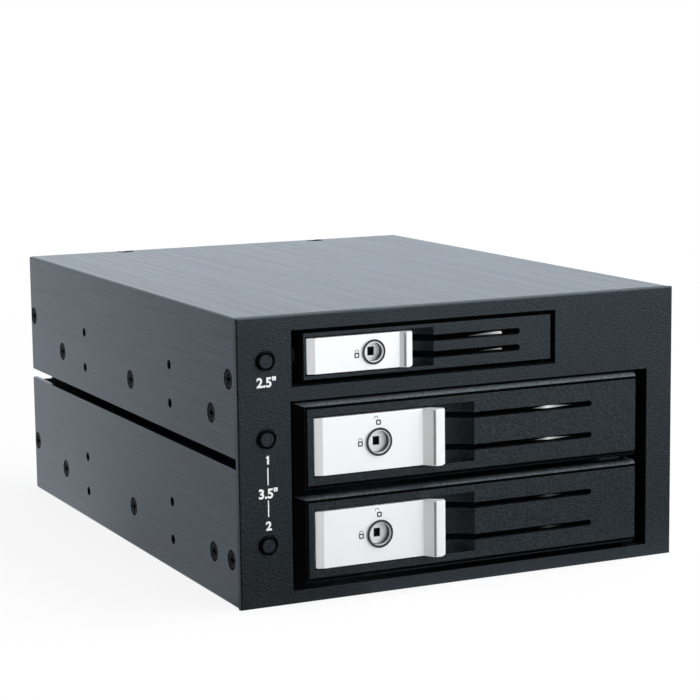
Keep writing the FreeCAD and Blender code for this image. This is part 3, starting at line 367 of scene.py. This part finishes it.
def bead(left, right, top, face, inset, drop, deep, bulge):
    """A rounded rib along a door's upper edge: from the outer edge at its top to the face's edge, drop
    lower and deep nearer, it stands out from the straight bevel by bulge * sin(pi u), less at its left
    end. Both ends are mitred by the insets of the left and the right bevel."""
    u = np.linspace(0, 1, 13)[:, None]
    t = np.linspace(0, 1, 30)[None]
    x = (left + inset[0] * u) * (1 - t) + (right - inset[1] * u) * t
    length = np.hypot(drop, deep)
    stand = bulge * np.sin(np.pi * u) * np.sin(np.pi * np.clip(t * 40, 0, 0.5))
    y = face + deep * (1 - u) - stand * drop / length
    z = top - drop * u + stand * deep / length
    return np.stack([x, y + 0 * t, z + 0 * t], -1)


def dish(x, tip, reach, deep):
    """Depth of a finger scoop at x: a drum through the face at tip + reach, deepest by deep at tip."""
    axis = (deep ** 2 - reach ** 2) / (2 * deep)
    drum = (deep - axis) ** 2 - (x - tip) ** 2
    return np.maximum(axis + np.sqrt(np.maximum(drum, 0)), 0)


def slot_edge(start, stop, half, wide):
    """A flat band (x, z) round a slot with a round end, as its inner and its outer outline."""
    arc = np.linspace(np.pi / 2, -np.pi / 2, 17)

    def outline(r):
        """Along the top of the slot, round its end and back, r from its middle line."""
        bend = np.stack([stop - half + r * np.cos(arc), r * np.sin(arc)], -1)
        return np.concatenate([[[start, r]], bend, [[start, -r]]])

    return np.stack([outline(half), outline(half + wide)])


def raised(flat, depth, z):
    """Flat (x, z) grids set at a depth along Y and moved up by z."""
    return np.stack([flat[..., 0], depth + 0 * flat[..., 0], flat[..., 1] + z], -1)


def rim_band(left, right, low, high, near, far):
    """A flat band (x, z) inside the top, left and bottom edge of a face, from near to far within it."""
    return np.stack([[[right, high - r], [left + r, high - r], [left + r, low + r], [right, low + r]]
                     for r in (near, far)])


LARGE_RIGHT = 0.05885
BEVEL_IN, BEVEL_DROP, BEVEL_DEEP, BEAD = (0.0025, 0.0004), 0.0010, 0.0021, 0.0003
RIM_START, RIM_LINE = 0.00005, 0.00085
BEAD_THICK = (0, 0.0003, -0.0001)
# Painted highlight: the bead's plastic is coloured lighter than the door's, standing for the lit band along
# the top edge.
bead_highlight = new_finish("bead_painted_highlight", (0.03, 0.033, 0.037), 0.5,
                    {"Specular IOR Level": 0.35, "Specular Tint": (0.74, 0.90, 1.0, 1)})
bead_speckle = texture(bead_highlight, "ShaderNodeTexNoise", 1800, sockets={"Detail": 3, "Roughness": 0.65})
tint(bead_highlight, bead_speckle, (0.006, 0.0075, 0.009), (0.080, 0.092, 0.106), 0.38, 0.70)
# Painted shade: a matt black with no shine, laid where grooves, slots and gaps lie in shade.
painted_shade = new_finish("painted_shade_black", (0.002, 0.002, 0.002), 0.95, {"Specular IOR Level": 0.0})
tint(painted_shade, texture(painted_shade, "ShaderNodeTexNoise", 2500), (0.001, 0.001, 0.001), (0.003, 0.003, 0.003))
for name in ("upper", "lower"):
    low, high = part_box(f"{name}_door")
    rib = bead(low.x, LARGE_RIGHT, high.z, low.y, BEVEL_IN, BEVEL_DROP, BEVEL_DEEP, BEAD)
    piece(f"{name}_door_bead", rib[None], f"{name}_door_body", bead_highlight, around=False,
          thick=BEAD_THICK)
    # Painted shade: a black band inside the face's top, left and bottom edges shows the shade in the groove
    # round the face, and black on the left bevel shows that bevel's shade.
    band = rim_band(low.x + BEVEL_IN[0], LARGE_RIGHT - BEVEL_IN[1], low.z + BEVEL_DROP, high.z - BEVEL_DROP,
                    RIM_START, RIM_LINE)
    piece(f"{name}_rim_shade", raised(band, low.y - INK, 0)[None], f"{name}_door_body",
          painted_shade, around=False, thick=INK_THICK)
    side = np.array([[(low.x, low.y + BEVEL_DEEP, low.z), (low.x, low.y + BEVEL_DEEP, high.z)],
                     [(low.x + BEVEL_IN[0], low.y, low.z + BEVEL_DROP),
                      (low.x + BEVEL_IN[0], low.y, high.z - BEVEL_DROP)]])
    piece(f"{name}_bevel_shade", side[None] + INK * (LEFT - BACK), f"{name}_door_body",
          painted_shade, around=False, thick=INK / 2 * (RIGHT + BACK))

SLOT_HALF = 0.0007
LEVER_GAP = 0.0005
BED_LAP = 0.0003
SLOTS = {
    "small": {"tip": -0.0180, "scoop": 0.0076, "deep": 0.0044, "stop": 0.0185,
              "offset": 0.00245, "ink": 0.00028},
    "upper": {"tip": -0.00955, "scoop": 0.0116, "deep": 0.0050, "stop": 0.04255,
              "offset": 0.00485, "ink": 0.0002},
}
SLOTS["lower"] = SLOTS["upper"]
# Painted shade: black bands round each slot, and along it across the scoop, widen the dark of the slot,
# which lies in shade.
for name, size in SLOTS.items():
    low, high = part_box(f"{name}_door")
    middle = (low.z + high.z) / 2
    end = size["tip"] + size["scoop"]
    x = np.linspace(size["tip"] + LEVER_GAP, end + BED_LAP, 24)
    y = low.y - INK + dish(x, size["tip"], size["scoop"], size["deep"])
    bed = np.stack([np.stack([x, y, 0 * x + z], -1)
                    for z in (-SLOT_HALF - size["ink"], SLOT_HALF + size["ink"])])
    edge = raised(slot_edge(end, size["stop"], SLOT_HALF, size["ink"]), low.y - INK, 0)
    rows = [middle - size["offset"], middle + size["offset"]]
    piece(f"{name}_scoop_shade", np.stack([bed + (0, 0, z) for z in rows]), f"{name}_door_body",
          painted_shade, around=False, thick=INK_THICK)
    piece(f"{name}_slot_shade", np.stack([edge + (0, 0, z) for z in rows]), f"{name}_door_body",
          painted_shade, around=False, thick=INK_THICK)

small_low, small_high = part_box("small_door")
WINDOW_LINE = 0.00035
WINDOW_LEFT, WINDOW_RIGHT = -0.0558, 0.0307
window_low, window_high = small_low.z - 0.0007, small_high.z + 0.0004
window = np.array([(WINDOW_LEFT, window_low), (WINDOW_RIGHT, window_low),
                   (WINDOW_RIGHT, window_high), (WINDOW_LEFT, window_high)])
grown = window + WINDOW_LINE * np.array([(-1, -1), (1, -1), (1, 1), (-1, 1)])
# Painted shade: a matt black line round the small door's window widens the dark gap round the door.
piece("small_window_shade", raised(np.stack([window, grown]), face_y, 0)[None], "cage",
      painted_shade, thick=INK_THICK)
pad_rubber = new_finish("pad_rubber", (0.018, 0.018, 0.018), 0.8)
rubber_grain = texture(pad_rubber, "ShaderNodeTexNoise", 1800, sockets={"Detail": 3})
tint(pad_rubber, rubber_grain, (0.012, 0.012, 0.012), (0.026, 0.026, 0.026))
relief(pad_rubber, rubber_grain, 2e-5, 0.0001)
dress(pad_rubber, *[f"{n}_door_pads" for n in DOORS])

# Light guides: smoked clear mouldings behind the doors' slots.
# A thin glowing strip in each slot is a painted highlight, standing for light caught on the slot's lower
# wall; it is faint in the lower door.
smoked = new_finish("smoked_clear_plastic", (0.001, 0.001, 0.001), 0.4, {"Specular IOR Level": 0.0})
swirl = texture(smoked, "ShaderNodeTexNoise", 700, (0.2, 1, 1), {"Detail": 2})
tint(smoked, swirl, (0.0005, 0.0005, 0.0006), (0.0015, 0.0015, 0.0018))
drive(smoked, swirl, "Roughness", 0.24, 0.4)
dress(smoked, *[f"{n}_light_guide" for n in DOORS])


def along(made, axis, low, high):
    """A number that goes from 0 to 1 as an Object coordinate goes from low to high."""
    tree = made.node_tree
    where = tree.nodes.new("ShaderNodeTexCoord")
    axes = tree.nodes.new("ShaderNodeSeparateXYZ")
    span = tree.nodes.new("ShaderNodeMapRange")
    span.inputs["From Min"].default_value = low
    span.inputs["From Max"].default_value = high
    tree.links.new(where.outputs["Object"], axes.inputs["Vector"])
    tree.links.new(axes.outputs[axis], span.inputs["Value"])
    return span.outputs["Result"]


def painted_highlight_finish(name, low, high, levels):
    """A finish with a painted highlight, that glows along X between two places, through these (place, level)
    stops from 0 to 1.
    """
    made = new_finish(name, (0.01, 0.01, 0.011), 0.5, {"Specular IOR Level": 0.1})
    tree = made.node_tree
    shader = tree.nodes["Principled BSDF"]
    shader.inputs["Emission Strength"].default_value = 1
    ramp = tree.nodes.new("ShaderNodeValToRGB")
    while len(ramp.color_ramp.elements) < len(levels):
        ramp.color_ramp.elements.new(0.5)
    for element, (place, level) in zip(ramp.color_ramp.elements, levels):
        element.position = place
        element.color = (0.97 * level, 0.985 * level, level, 1)
    tree.links.new(along(made, "X", low, high), ramp.inputs["Fac"])
    tree.links.new(ramp.outputs["Color"], shader.inputs["Emission Color"])
    return made


def strip(low, high, rise, widest, under, power):
    """Two edges of a thin strip along X, rise * sin(pi u)^power apart and the share under of that below
    its line, where u is 1/2 at the widest place and 0 and 1 at the ends."""
    place = np.linspace(0, 1, 40)
    turn = np.where(place < widest, place / widest / 2, 0.5 + (place - widest) / (1 - widest) / 2)
    wide = rise * np.sin(np.pi * np.clip(turn, 0, 1)) ** power
    x = low + (high - low) * place
    return np.stack([np.stack([x, 0 * x, -under * wide], -1), np.stack([x, 0 * x, (1 - under) * wide], -1)])


# start, stop, rise, widest, under, lift, power, peak
SLOT_HIGHLIGHTS = {
    "small_high": (0.0009, 0.0131, 0.00075, 0.96, 0.0, -0.00045, 1, 0.66),
    "small_low": (0.0050, 0.0131, 0.00045, 0.95, 0.0, -0.00030, 1, 0.30),
    "upper_high": (0.0214, 0.0370, 0.0008, 0.40, 0.4, 0.00005, 2, 0.75),
    "upper_low": (0.0222, 0.0366, 0.0007, 0.40, 0.4, 0.00005, 2, 0.58),
    "lower_high": (0.0236, 0.0336, 0.0008, 0.45, 0.4, 0.00005, 2, 0.035),
    "lower_low": (0.0236, 0.0336, 0.0007, 0.45, 0.4, 0.00005, 2, 0.025),
}
for label, (start, stop, rise, widest, under, lift, power, peak) in SLOT_HIGHLIGHTS.items():
    name, row = label.split("_")
    low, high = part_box(f"{name}_door")
    z = (low.z + high.z) / 2 + (SLOTS[name]["offset"] if row == "high" else -SLOTS[name]["offset"]) + lift
    guide_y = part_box(f"{name}_light_guide")[0].y
    stretch = strip(start, stop, rise, widest, under, power) + (0, guide_y - INK, z)
    levels = [(0, 0), (0.6 * widest, 0.3 * peak), (widest, peak)]
    levels += [((1 + 2 * widest) / 3, 0.45 * peak), (1, 0)] if widest < 0.9 else [(1, peak)]
    piece(f"{name}_door_{row}_strip", stretch[None], f"{name}_door_body",
          painted_highlight_finish(f"{name}_{row}_painted_highlight", start, stop, levels), around=False, thick=INK_THICK)

# Levers: zinc castings sprayed satin silver, each on a pin in its door. Past a depth behind the front the
# colour turns
# black: painted shade for the parts that lie in the dark gap round the door.
# Padlock signs beside the lock are printed in grey.
SILVER_BACK, SILVER_FADE = 0.0020, 0.0002
silver = new_finish("satin_silver_and_gap_shade", (0.92, 0.925, 0.93), 0.33, {"Metallic": 0.2})
flake = texture(silver, "ShaderNodeTexNoise", 4200, sockets={"Detail": 2})
gap_shade = along(silver, "Y", front_y + SILVER_BACK, front_y + SILVER_BACK + SILVER_FADE)
tint(silver, gap_shade, (0.92, 0.925, 0.93), (0.006, 0.006, 0.007), 0, 1)
drive(silver, flake, "Roughness", 0.28, 0.38)
relief(silver, flake, 3e-6, 0.0003)
dress(silver, *[f"{n}_lever" for n in DOORS])

# Painted shade: a grey strip up each lever's lip stands for the shade in the groove between the plate's ramp
# and the lip.
lip_shade_finish = new_finish("shadow_line", (0.2, 0.2, 0.21), 0.7, {"Specular IOR Level": 0.1})
tint(lip_shade_finish, texture(lip_shade_finish, "ShaderNodeTexNoise", 2000), (0.16, 0.16, 0.17), (0.24, 0.24, 0.25))


def lip_shade_line(crest, width, level, low, high, round_off):
    """A narrow strip up a lever's lip, between two heights, hollowed by a parabola across its width."""
    across = np.linspace(-1, 1, 7)[:, None]
    rise = np.linspace(low + round_off, high - round_off, 5)[None]
    x = crest + width * (across + 1) / 2
    return np.stack([x + 0 * rise, level - 0.00006 * across ** 2 + 0 * rise, rise + 0 * across], -1)


LIP_SHADE_WIDE, LIP_SHADE_DEEP, LIP_SHADE_LAP, LIP_SHADE_END = 0.00056, 0.00034, 0.00003, 0.0003
LIP = {"small": 0.0029, "upper": 0.0039, "lower": 0.0039}
for name in DOORS:
    lever_low, lever_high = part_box(f"{name}_lever")
    lip_shade = lip_shade_line(lever_high.x - LIP[name] - LIP_SHADE_LAP, LIP_SHADE_WIDE, lever_low.y + LIP_SHADE_DEEP,
                    lever_low.z, lever_high.z, LIP_SHADE_END)
    piece(f"{name}_lever_lip_shade", lip_shade[None], f"{name}_lever_body", lip_shade_finish, around=False,
          thick=INK_THICK)

grey_ink = new_finish("grey_pad_print", (0.05, 0.05, 0.052), 0.6)
tint(grey_ink, texture(grey_ink, "ShaderNodeTexNoise", 3000), (0.03, 0.03, 0.032), (0.06, 0.06, 0.062))


def sign_body(half, line, corner):
    """A square frame with round corners, as two outlines: at angle t a point of the square
    |x|^p + |z|^p = half^p, with p from corner, and the same drawn in by the line."""
    turn = np.arange(40) * 2 * np.pi / 40
    power = 2 / corner
    shape = np.stack([np.sign(np.cos(turn)) * np.abs(np.cos(turn)) ** power,
                      np.sign(np.sin(turn)) * np.abs(np.sin(turn)) ** power], -1)
    return np.stack([shape * half, shape * (half - line)])


def sign_shackle(radius, line, leg, shift):
    """A half ring over two legs, as two outlines, moved by a shift."""
    arc = np.linspace(0, np.pi, 17)
    ring = np.stack([np.cos(arc), np.sin(arc)], -1)

    def arch(r):
        """One edge of the band: a leg, the half ring of radius r, and the other leg."""
        return np.concatenate([[[r, -leg]], ring * r, [[-r, -leg]]])

    return np.stack([arch(radius), arch(radius - line)]) + shift


SIGN = 0.0008
COLLAR_PROUD = 0.0005
SHACKLES = {"locked": ((0, 1.25 * SIGN), 0.35 * SIGN), "open": ((-0.9 * SIGN, 1.6 * SIGN), 0.1 * SIGN)}
SIGN_PLACES = {"small": [("locked", -0.0053, -0.0007)], "upper": [("locked", -0.0059, -0.0002)],
               "lower": [("locked", -0.0059, -0.0002)]}
for name in ("upper", "lower"):
    SIGN_PLACES[name] += [("open", 0.0, 0.0057)]
for name, places in SIGN_PLACES.items():
    collar_low, collar_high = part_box(f"{name}_lock_collar")
    middle = (collar_low + collar_high) / 2
    for word, x, z in places:
        centre = (middle.x + x, collar_low.y + COLLAR_PROUD - INK, middle.z + z)
        shift, leg = SHACKLES[word]
        for part, flat in (("body", sign_body(SIGN, 0.5 * SIGN, 4)),
                           ("shackle", sign_shackle(0.85 * SIGN, 0.24 * SIGN, leg, shift))):
            piece(f"{name}_{word}_sign_{part}", (raised(flat, 0, 0) + centre)[None],
                  f"{name}_lever_body", grey_ink, around=part == "body", thick=INK_THICK)

# Locks: a bright chrome collar and plug in each lever, with a flat black ring over the collar's edge:
# painted shade for the gap round the collar.
# The bore of the collar and the keyway in the plug turn dark with depth: painted shade in those recesses.
PLUG_SUNK = 0.0022
COLLAR_EDGE, PLUG_EDGE, DARK_FADE = 0.0004, 0.0003, 0.0003
BRIGHT = (0.94, 0.945, 0.95)
COLLAR_METAL, PLUG_METAL = 0.75, 0.1
COLLAR_BORE_SHADE, KEYWAY_SHADE = (0.10, 0.10, 0.105), (0.035, 0.035, 0.037)


def lock_chrome(name, bright_to, dark, metal):
    """Bright chrome, this far metallic, that turns to a dark painted shade past a place along Y."""
    made = new_finish(name, BRIGHT, 0.12, {"Metallic": metal})
    tint(made, along(made, "Y", bright_to, bright_to + DARK_FADE), BRIGHT, dark, 0, 1)
    drive(made, texture(made, "ShaderNodeTexNoise", 500, sockets={"Detail": 3}), "Roughness", 0.08, 0.17)
    return made


def washer(radius, wide, thick):
    """A flat ring about +Z with an oval section: radius + wide cos v out and thick sin v up."""
    turn = np.arange(48)[None] * 2 * np.pi / 48
    tube = np.arange(13)[:, None] * 2 * np.pi / 12
    out = radius + wide * np.cos(tube)
    return np.stack([out * np.cos(turn), out * np.sin(turn), thick * np.sin(tube) + 0 * turn], -1)


RING_WIDE, RING_THICK, RING_LAP = 0.00033, 0.00006, 0.0001
for name in DOORS:
    collar_low, collar_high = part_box(f"{name}_lock_collar")
    middle = (collar_low + collar_high) / 2
    collar = (collar_high.x - collar_low.x) / 2
    dress(lock_chrome(f"{name}_collar_chrome", collar_low.y + COLLAR_EDGE, COLLAR_BORE_SHADE, COLLAR_METAL),
          f"{name}_lock_collar")
    dress(lock_chrome(f"{name}_plug_chrome", collar_low.y + PLUG_SUNK + PLUG_EDGE, KEYWAY_SHADE, PLUG_METAL),
          f"{name}_lock_plug")
    ring = set_at(washer(collar + RING_LAP - RING_WIDE, RING_WIDE, RING_THICK),
                  [(middle.x, collar_low.y, middle.z)], -BACK, UP)
    piece(f"{name}_lock_shade_ring", ring, f"{name}_lever_body", pad_rubber)

# Push-buttons: black plastic caps, each in a shallow ring of the bezel, sprung by the switch behind.
# A raised bead of matt black runs round the edge of each cap: painted shade for the dark ring round the cap.
dress(grained, *[f"{n}_button" for n in DOORS])
CAP_RADIUS, CAP_BEAD, CAP_RISE = 0.0026, 0.00032, 0.00012
for name in DOORS:
    low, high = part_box(f"{name}_button")
    rim = set_at(washer(CAP_RADIUS - CAP_BEAD, CAP_BEAD, CAP_RISE),
                 [((low.x + high.x) / 2, low.y, (low.z + high.z) / 2)], -BACK, UP)
    piece(f"{name}_button_shade_ring", rim, f"{name}_button_body", painted_shade)

# Boards: glass-fibre laminate under green solder mask, with the copper tracks showing through.
# They carry the sockets for the drives, and the ports that reach through the rear panel.
mask = new_finish("green_solder_mask", (0.012, 0.09, 0.035), 0.3, {"Coat Weight": 0.3})
tracks = texture(mask, "ShaderNodeTexBrick", 260, sockets={"Mortar Size": 0.06})
tint(mask, tracks, (0.010, 0.075, 0.03), (0.03, 0.15, 0.06), 0.2, 0.8)
dress(mask, "switch_board", "main_backplane", "small_drive_board")
dress(satin_black, "tact_switches", "lower_drive_socket", "upper_drive_socket", "small_drive_socket",
      "board_link_socket", "data_ports")
nylon = new_finish("natural_nylon", (0.62, 0.6, 0.54), 0.5, {"Subsurface Weight": 0.1})
tint(nylon, texture(nylon, "ShaderNodeTexNoise", 120), (0.56, 0.54, 0.48), (0.66, 0.64, 0.58))
dress(nylon, "power_ports")
brass = new_finish("turned_brass", (0.62, 0.47, 0.2), 0.3, {"Metallic": 1.0})
drive(brass, texture(brass, "ShaderNodeTexNoise", 2500, (1, 1, 0.1)), "Roughness", 0.22, 0.4)
dress(brass, "backplane_standoffs", "small_board_standoffs")


def blade(width, length, height):
    """A contact lying along +Y on the XY plane: its top is flat over the middle and falls to the
    plane at its sides and its ends."""
    across = np.array([-1, -0.75, 0.75, 1]) * width / 2
    lengthwise = np.array([0, 0.06, 0.94, 1]) * length
    lift = np.outer([0, 1, 1, 0], [0, 1, 1, 0]) * height
    return np.stack([across + 0 * lift, lengthwise[:, None] + 0 * lift, lift], -1)


def tongue(half, key, thick, length):
    """A connector's tongue that reaches along +Y: an L drawn in X and Z, with thickness to both sides
    of its line and none at its two ends, folded over its front edge and closed at its root."""
    line = np.array([[-half, 0], [-half, 0], [half - thick / 2, 0],
                     [half, -thick / 2], [half, -key], [half, -key]])
    out = np.array([[0, 1], [0, 1], [0.4, 1], [1, 0.4], [1, 0], [1, 0]]) * thick / 2
    out[[0, -1]] = 0
    rows = [line, line + out, line + out, line - out, line - out, line]
    reach = [0, 0, length, length, 0, 0]
    return np.stack([np.stack([r[:, 0], np.full(len(r), y), r[:, 1]], -1) for r, y in zip(rows, reach)])


def pin(radius, length):
    """A round pin along +Z from 0 with a domed tip: radius r cos a at length - r (1 - sin a)."""
    turn = np.arange(16) * 2 * np.pi / 16
    dome = np.linspace(0, np.pi / 2, 6)[:, None]
    out = np.concatenate([[[0], [radius]], radius * np.cos(dome)])
    level = np.concatenate([[[0], [0]], length - radius * (1 - np.sin(dome))])
    return np.stack([out * np.cos(turn), out * np.sin(turn), level + 0 * turn], -1)


PITCH = 0.00127
CONTACT_THICK = -0.00003 * UP
gold = new_finish("gold_plated_contact", (0.86, 0.62, 0.25), 0.25, {"Metallic": 1.0})
drive(gold, texture(gold, "ShaderNodeTexNoise", 1200), "Roughness", 0.18, 0.34)
TONGUE_HALF_THICK = 0.0006
contact_x = np.concatenate([np.arange(7), np.arange(15) + 9]) * PITCH
contact_x -= contact_x.mean()
spots = []
for name in DOORS:
    low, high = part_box(f"{name}_drive_socket")
    middle = (low + high) / 2
    spots += [(middle.x + x, low.y + 0.0004, middle.z + TONGUE_HALF_THICK) for x in contact_x]
contacts = np.asarray(spots)[:, None, None, :] + blade(0.0008, 0.006, 0.00008)[None]
piece("drive_contacts", contacts, "cage", gold, around=False, thick=CONTACT_THICK)

PORT_X, PORT_DEEP, PORT_REACH = -0.0320, 0.0040, 0.0048
port_z = [0.0245, 0.05185, 0.0706]
base = np.array([(PORT_X, rear_y - PORT_DEEP, z) for z in port_z])
tongues = base[:, None, None, :] + tongue(0.0048, 0.0014, 0.001, PORT_REACH)[None]
piece("data_tongues", tongues, "cage", satin_black, around=False)
spots = (base[:, None] + np.stack([(np.arange(7) - 3.4) * PITCH, 0 * np.arange(7),
                                   np.full(7, 0.0005)], -1)[None]).reshape(-1, 3)
piece("data_contacts", spots[:, None, None, :] + blade(0.0008, 0.0045, 0.00006)[None],
      "cage", gold, around=False, thick=CONTACT_THICK)

POWER_X, POWER_DEEP, POWER_PITCH = -0.0030, 0.0060, 0.00508
tinned = new_finish("tinned_pin", (0.72, 0.72, 0.7), 0.3, {"Metallic": 1.0})
drive(tinned, texture(tinned, "ShaderNodeTexNoise", 1500), "Roughness", 0.22, 0.4)
spots = [(POWER_X + step * POWER_PITCH, rear_y - POWER_DEEP, z) for z in (0.0185, 0.04585)
         for step in (-1.5, -0.5, 0.5, 1.5)]
piece("power_pins", set_at(pin(0.001, 0.0062), spots, BACK, UP), "cage", tinned)

# Fan: black plastic frame and rotor, with a guard of plated wire outside the rear panel.
dress(satin_black, "fan_frame", "fan_rotor")
plated = new_finish("plated_wire", (0.7, 0.7, 0.71), 0.2, {"Metallic": 1.0})
drive(plated, texture(plated, "ShaderNodeTexNoise", 800), "Roughness", 0.14, 0.28)
dress(plated, "fan_guard")

# Floor, light and camera: white seamless paper under a white studio dome with two soft lamps.
# A black flag stands at the left front, and a grey card that only reflections show lies in front.
FLOOR = 3.0
DOME = 0.88
FLAG_WAY = (-0.82, -0.57, 0)
FLAG_LEVEL = 0.12
SIDE_LEVEL = 0.66
SKY_TINT = (0.87, 0.955, 1.05, 1)
CARD = 0.16
FRONT_MIDDLE = (-0.03, -0.1, 0)


def connect(tree, kind, operation, first, second):
    """A new vector or number node that works on one link and one constant or second link."""
    node = tree.nodes.new(kind)
    node.operation = operation
    tree.links.new(first, node.inputs[0])
    if isinstance(second, bpy.types.NodeSocket):
        tree.links.new(second, node.inputs[1])
    elif second is not None:
        node.inputs[1].default_value = second
    return node


def ranged(tree, source, start, stop, low, high):
    """A number eased from low at start to high at stop."""
    node = tree.nodes.new("ShaderNodeMapRange")
    node.interpolation_type = "SMOOTHSTEP"
    for name, value in (("From Min", start), ("From Max", stop), ("To Min", low), ("To Max", high)):
        node.inputs[name].default_value = value
    tree.links.new(source, node.inputs["Value"])
    return node.outputs["Result"]


def studio_level(tree, way):
    """How bright the studio is, by level direction: 1, and dim toward the flag."""
    flat = connect(tree, "ShaderNodeVectorMath", "MULTIPLY", way, (1, 1, 0))
    unit = connect(tree, "ShaderNodeVectorMath", "NORMALIZE", flat.outputs["Vector"], None)
    toward = connect(tree, "ShaderNodeVectorMath", "DOT_PRODUCT", unit.outputs["Vector"], FLAG_WAY)
    aside = connect(tree, "ShaderNodeVectorMath", "DOT_PRODUCT", unit.outputs["Vector"], (-1, 0, 0))
    flag = ranged(tree, toward.outputs["Value"], 0.45, 0.95, 1.0, FLAG_LEVEL)
    edge = ranged(tree, aside.outputs["Value"], 0.24, 0.44, 1.0, SIDE_LEVEL)
    return connect(tree, "ShaderNodeMath", "MULTIPLY", flag, edge).outputs["Value"]


def seen_directly(tree, rays):
    """1 for rays from the camera, straight or through something clear."""
    return connect(tree, "ShaderNodeMath", "MAXIMUM", rays.outputs["Is Camera Ray"],
                   rays.outputs["Is Transmission Ray"]).outputs["Value"]


def mixed(tree, share, first, second):
    """Two shaders mixed by a share of the second."""
    node = tree.nodes.new("ShaderNodeMixShader")
    tree.links.new(share, node.inputs["Fac"])
    tree.links.new(first, node.inputs[1])
    tree.links.new(second, node.inputs[2])
    return node.outputs["Shader"]


corner = np.array([[-1, -1], [1, -1], [1, 1], [-1, 1]]) * FLOOR
floor_mesh = bpy.data.meshes.new("floor")
floor_mesh.from_pydata([(x, y, 0) for x, y in corner.tolist()], [], [(0, 1, 2, 3)])
floor = bpy.data.objects.new("floor", floor_mesh)
bpy.context.scene.collection.objects.link(floor)
paper = new_finish("white_paper", (0.95, 0.95, 0.95), 0.9, {"Specular IOR Level": 0.0})
tree = paper.node_tree
rays = tree.nodes.new("ShaderNodeLightPath")
where = tree.nodes.new("ShaderNodeTexCoord").outputs["Object"]
away = connect(tree, "ShaderNodeVectorMath", "LENGTH", where, None)
open_floor = ranged(tree, away.outputs["Value"], 0.25, 0.7, 0.88, 1.0)
card = tree.nodes.new("ShaderNodeValToRGB")
for place in (0.25, 0.75):
    card.color_ramp.elements.new(place)
for element, (place, shade) in zip(card.color_ramp.elements, ((0, 1), (0.67, CARD), (0.8, CARD), (0.85, 1))):
    element.position = place
    element.color = (shade, shade, shade, 1)
tree.links.new(along(paper, "Y", -0.6, 0.0), card.inputs["Fac"])
white = tree.nodes.new("ShaderNodeEmission")
shown = tree.nodes.new("ShaderNodeEmission")
shown.inputs["Color"].default_value = SKY_TINT
ahead = connect(tree, "ShaderNodeVectorMath", "SUBTRACT", where, FRONT_MIDDLE).outputs["Vector"]
level = connect(tree, "ShaderNodeMath", "MULTIPLY", studio_level(tree, ahead), card.outputs["Color"])
tree.links.new(level.outputs["Value"], shown.inputs["Strength"])
share = connect(tree, "ShaderNodeMath", "MULTIPLY", seen_directly(tree, rays), open_floor)
surface = mixed(tree, rays.outputs["Is Glossy Ray"], tree.nodes["Principled BSDF"].outputs["BSDF"],
                shown.outputs["Emission"])
surface = mixed(tree, share.outputs["Value"], surface, white.outputs["Emission"])
tree.links.new(surface, tree.nodes["Material Output"].inputs["Surface"])
floor_mesh.materials.append(paper)

world = bpy.data.worlds.new("studio")
bpy.context.scene.world = world
world.use_nodes = True
tree = world.node_tree
rays = tree.nodes.new("ShaderNodeLightPath")
lit = tree.nodes["Background"]
lit.inputs["Color"].default_value = (0.97, 0.985, 1.0, 1)
shown = tree.nodes.new("ShaderNodeBackground")
shown.inputs["Color"].default_value = SKY_TINT
way = tree.nodes.new("ShaderNodeTexCoord").outputs["Generated"]
level = studio_level(tree, way)
tree.links.new(level, shown.inputs["Strength"])
dimmed = connect(tree, "ShaderNodeMath", "MULTIPLY", level, DOME).outputs["Value"]
tree.links.new(dimmed, lit.inputs["Strength"])
white = tree.nodes.new("ShaderNodeBackground")
white.inputs["Color"].default_value = (1, 1, 1, 1)
sky = mixed(tree, rays.outputs["Is Glossy Ray"], lit.outputs["Background"], shown.outputs["Background"])
sky = mixed(tree, seen_directly(tree, rays), sky, white.outputs["Background"])
tree.links.new(sky, tree.nodes["World Output"].inputs["Surface"])

AIM = Vector((0, 0, 0.04))
for name, size, energy, place in (("front_lamp", 0.7, 3.7, (0.5, -0.8, 0.42)),
                                  ("top_lamp", 0.5, 6, (0.47, -0.2, 0.98))):
    lamp = bpy.data.lights.new(name, "AREA")
    lamp.shape = "SQUARE"
    lamp.size = size
    lamp.energy = energy
    holder = bpy.data.objects.new(name, lamp)
    holder.location = place
    holder.rotation_euler = (AIM - holder.location).to_track_quat("-Z", "Y").to_euler()
    bpy.context.scene.collection.objects.link(holder)

EYE = Vector((-0.30807, -0.66205, 0.16831))
AHEAD = Vector((0.42597, 0.89219, -0.15016)).normalized()
ACROSS = Vector((0.90158, -0.43245, -0.01187))
LENS = 113.35
across = (ACROSS - AHEAD * ACROSS.dot(AHEAD)).normalized()
upward = across.cross(AHEAD)
camera = bpy.data.objects.new("camera", bpy.data.cameras.new("camera"))
camera.data.lens = LENS
camera.data.sensor_width = 36
camera.data.clip_start = 0.01
camera.matrix_world = Matrix.Translation(EYE) @ Matrix((across, upward, -AHEAD)).transposed().to_4x4()
bpy.context.scene.collection.objects.link(camera)
bpy.context.scene.camera = camera
bpy.context.scene.view_settings.view_transform = "Standard"
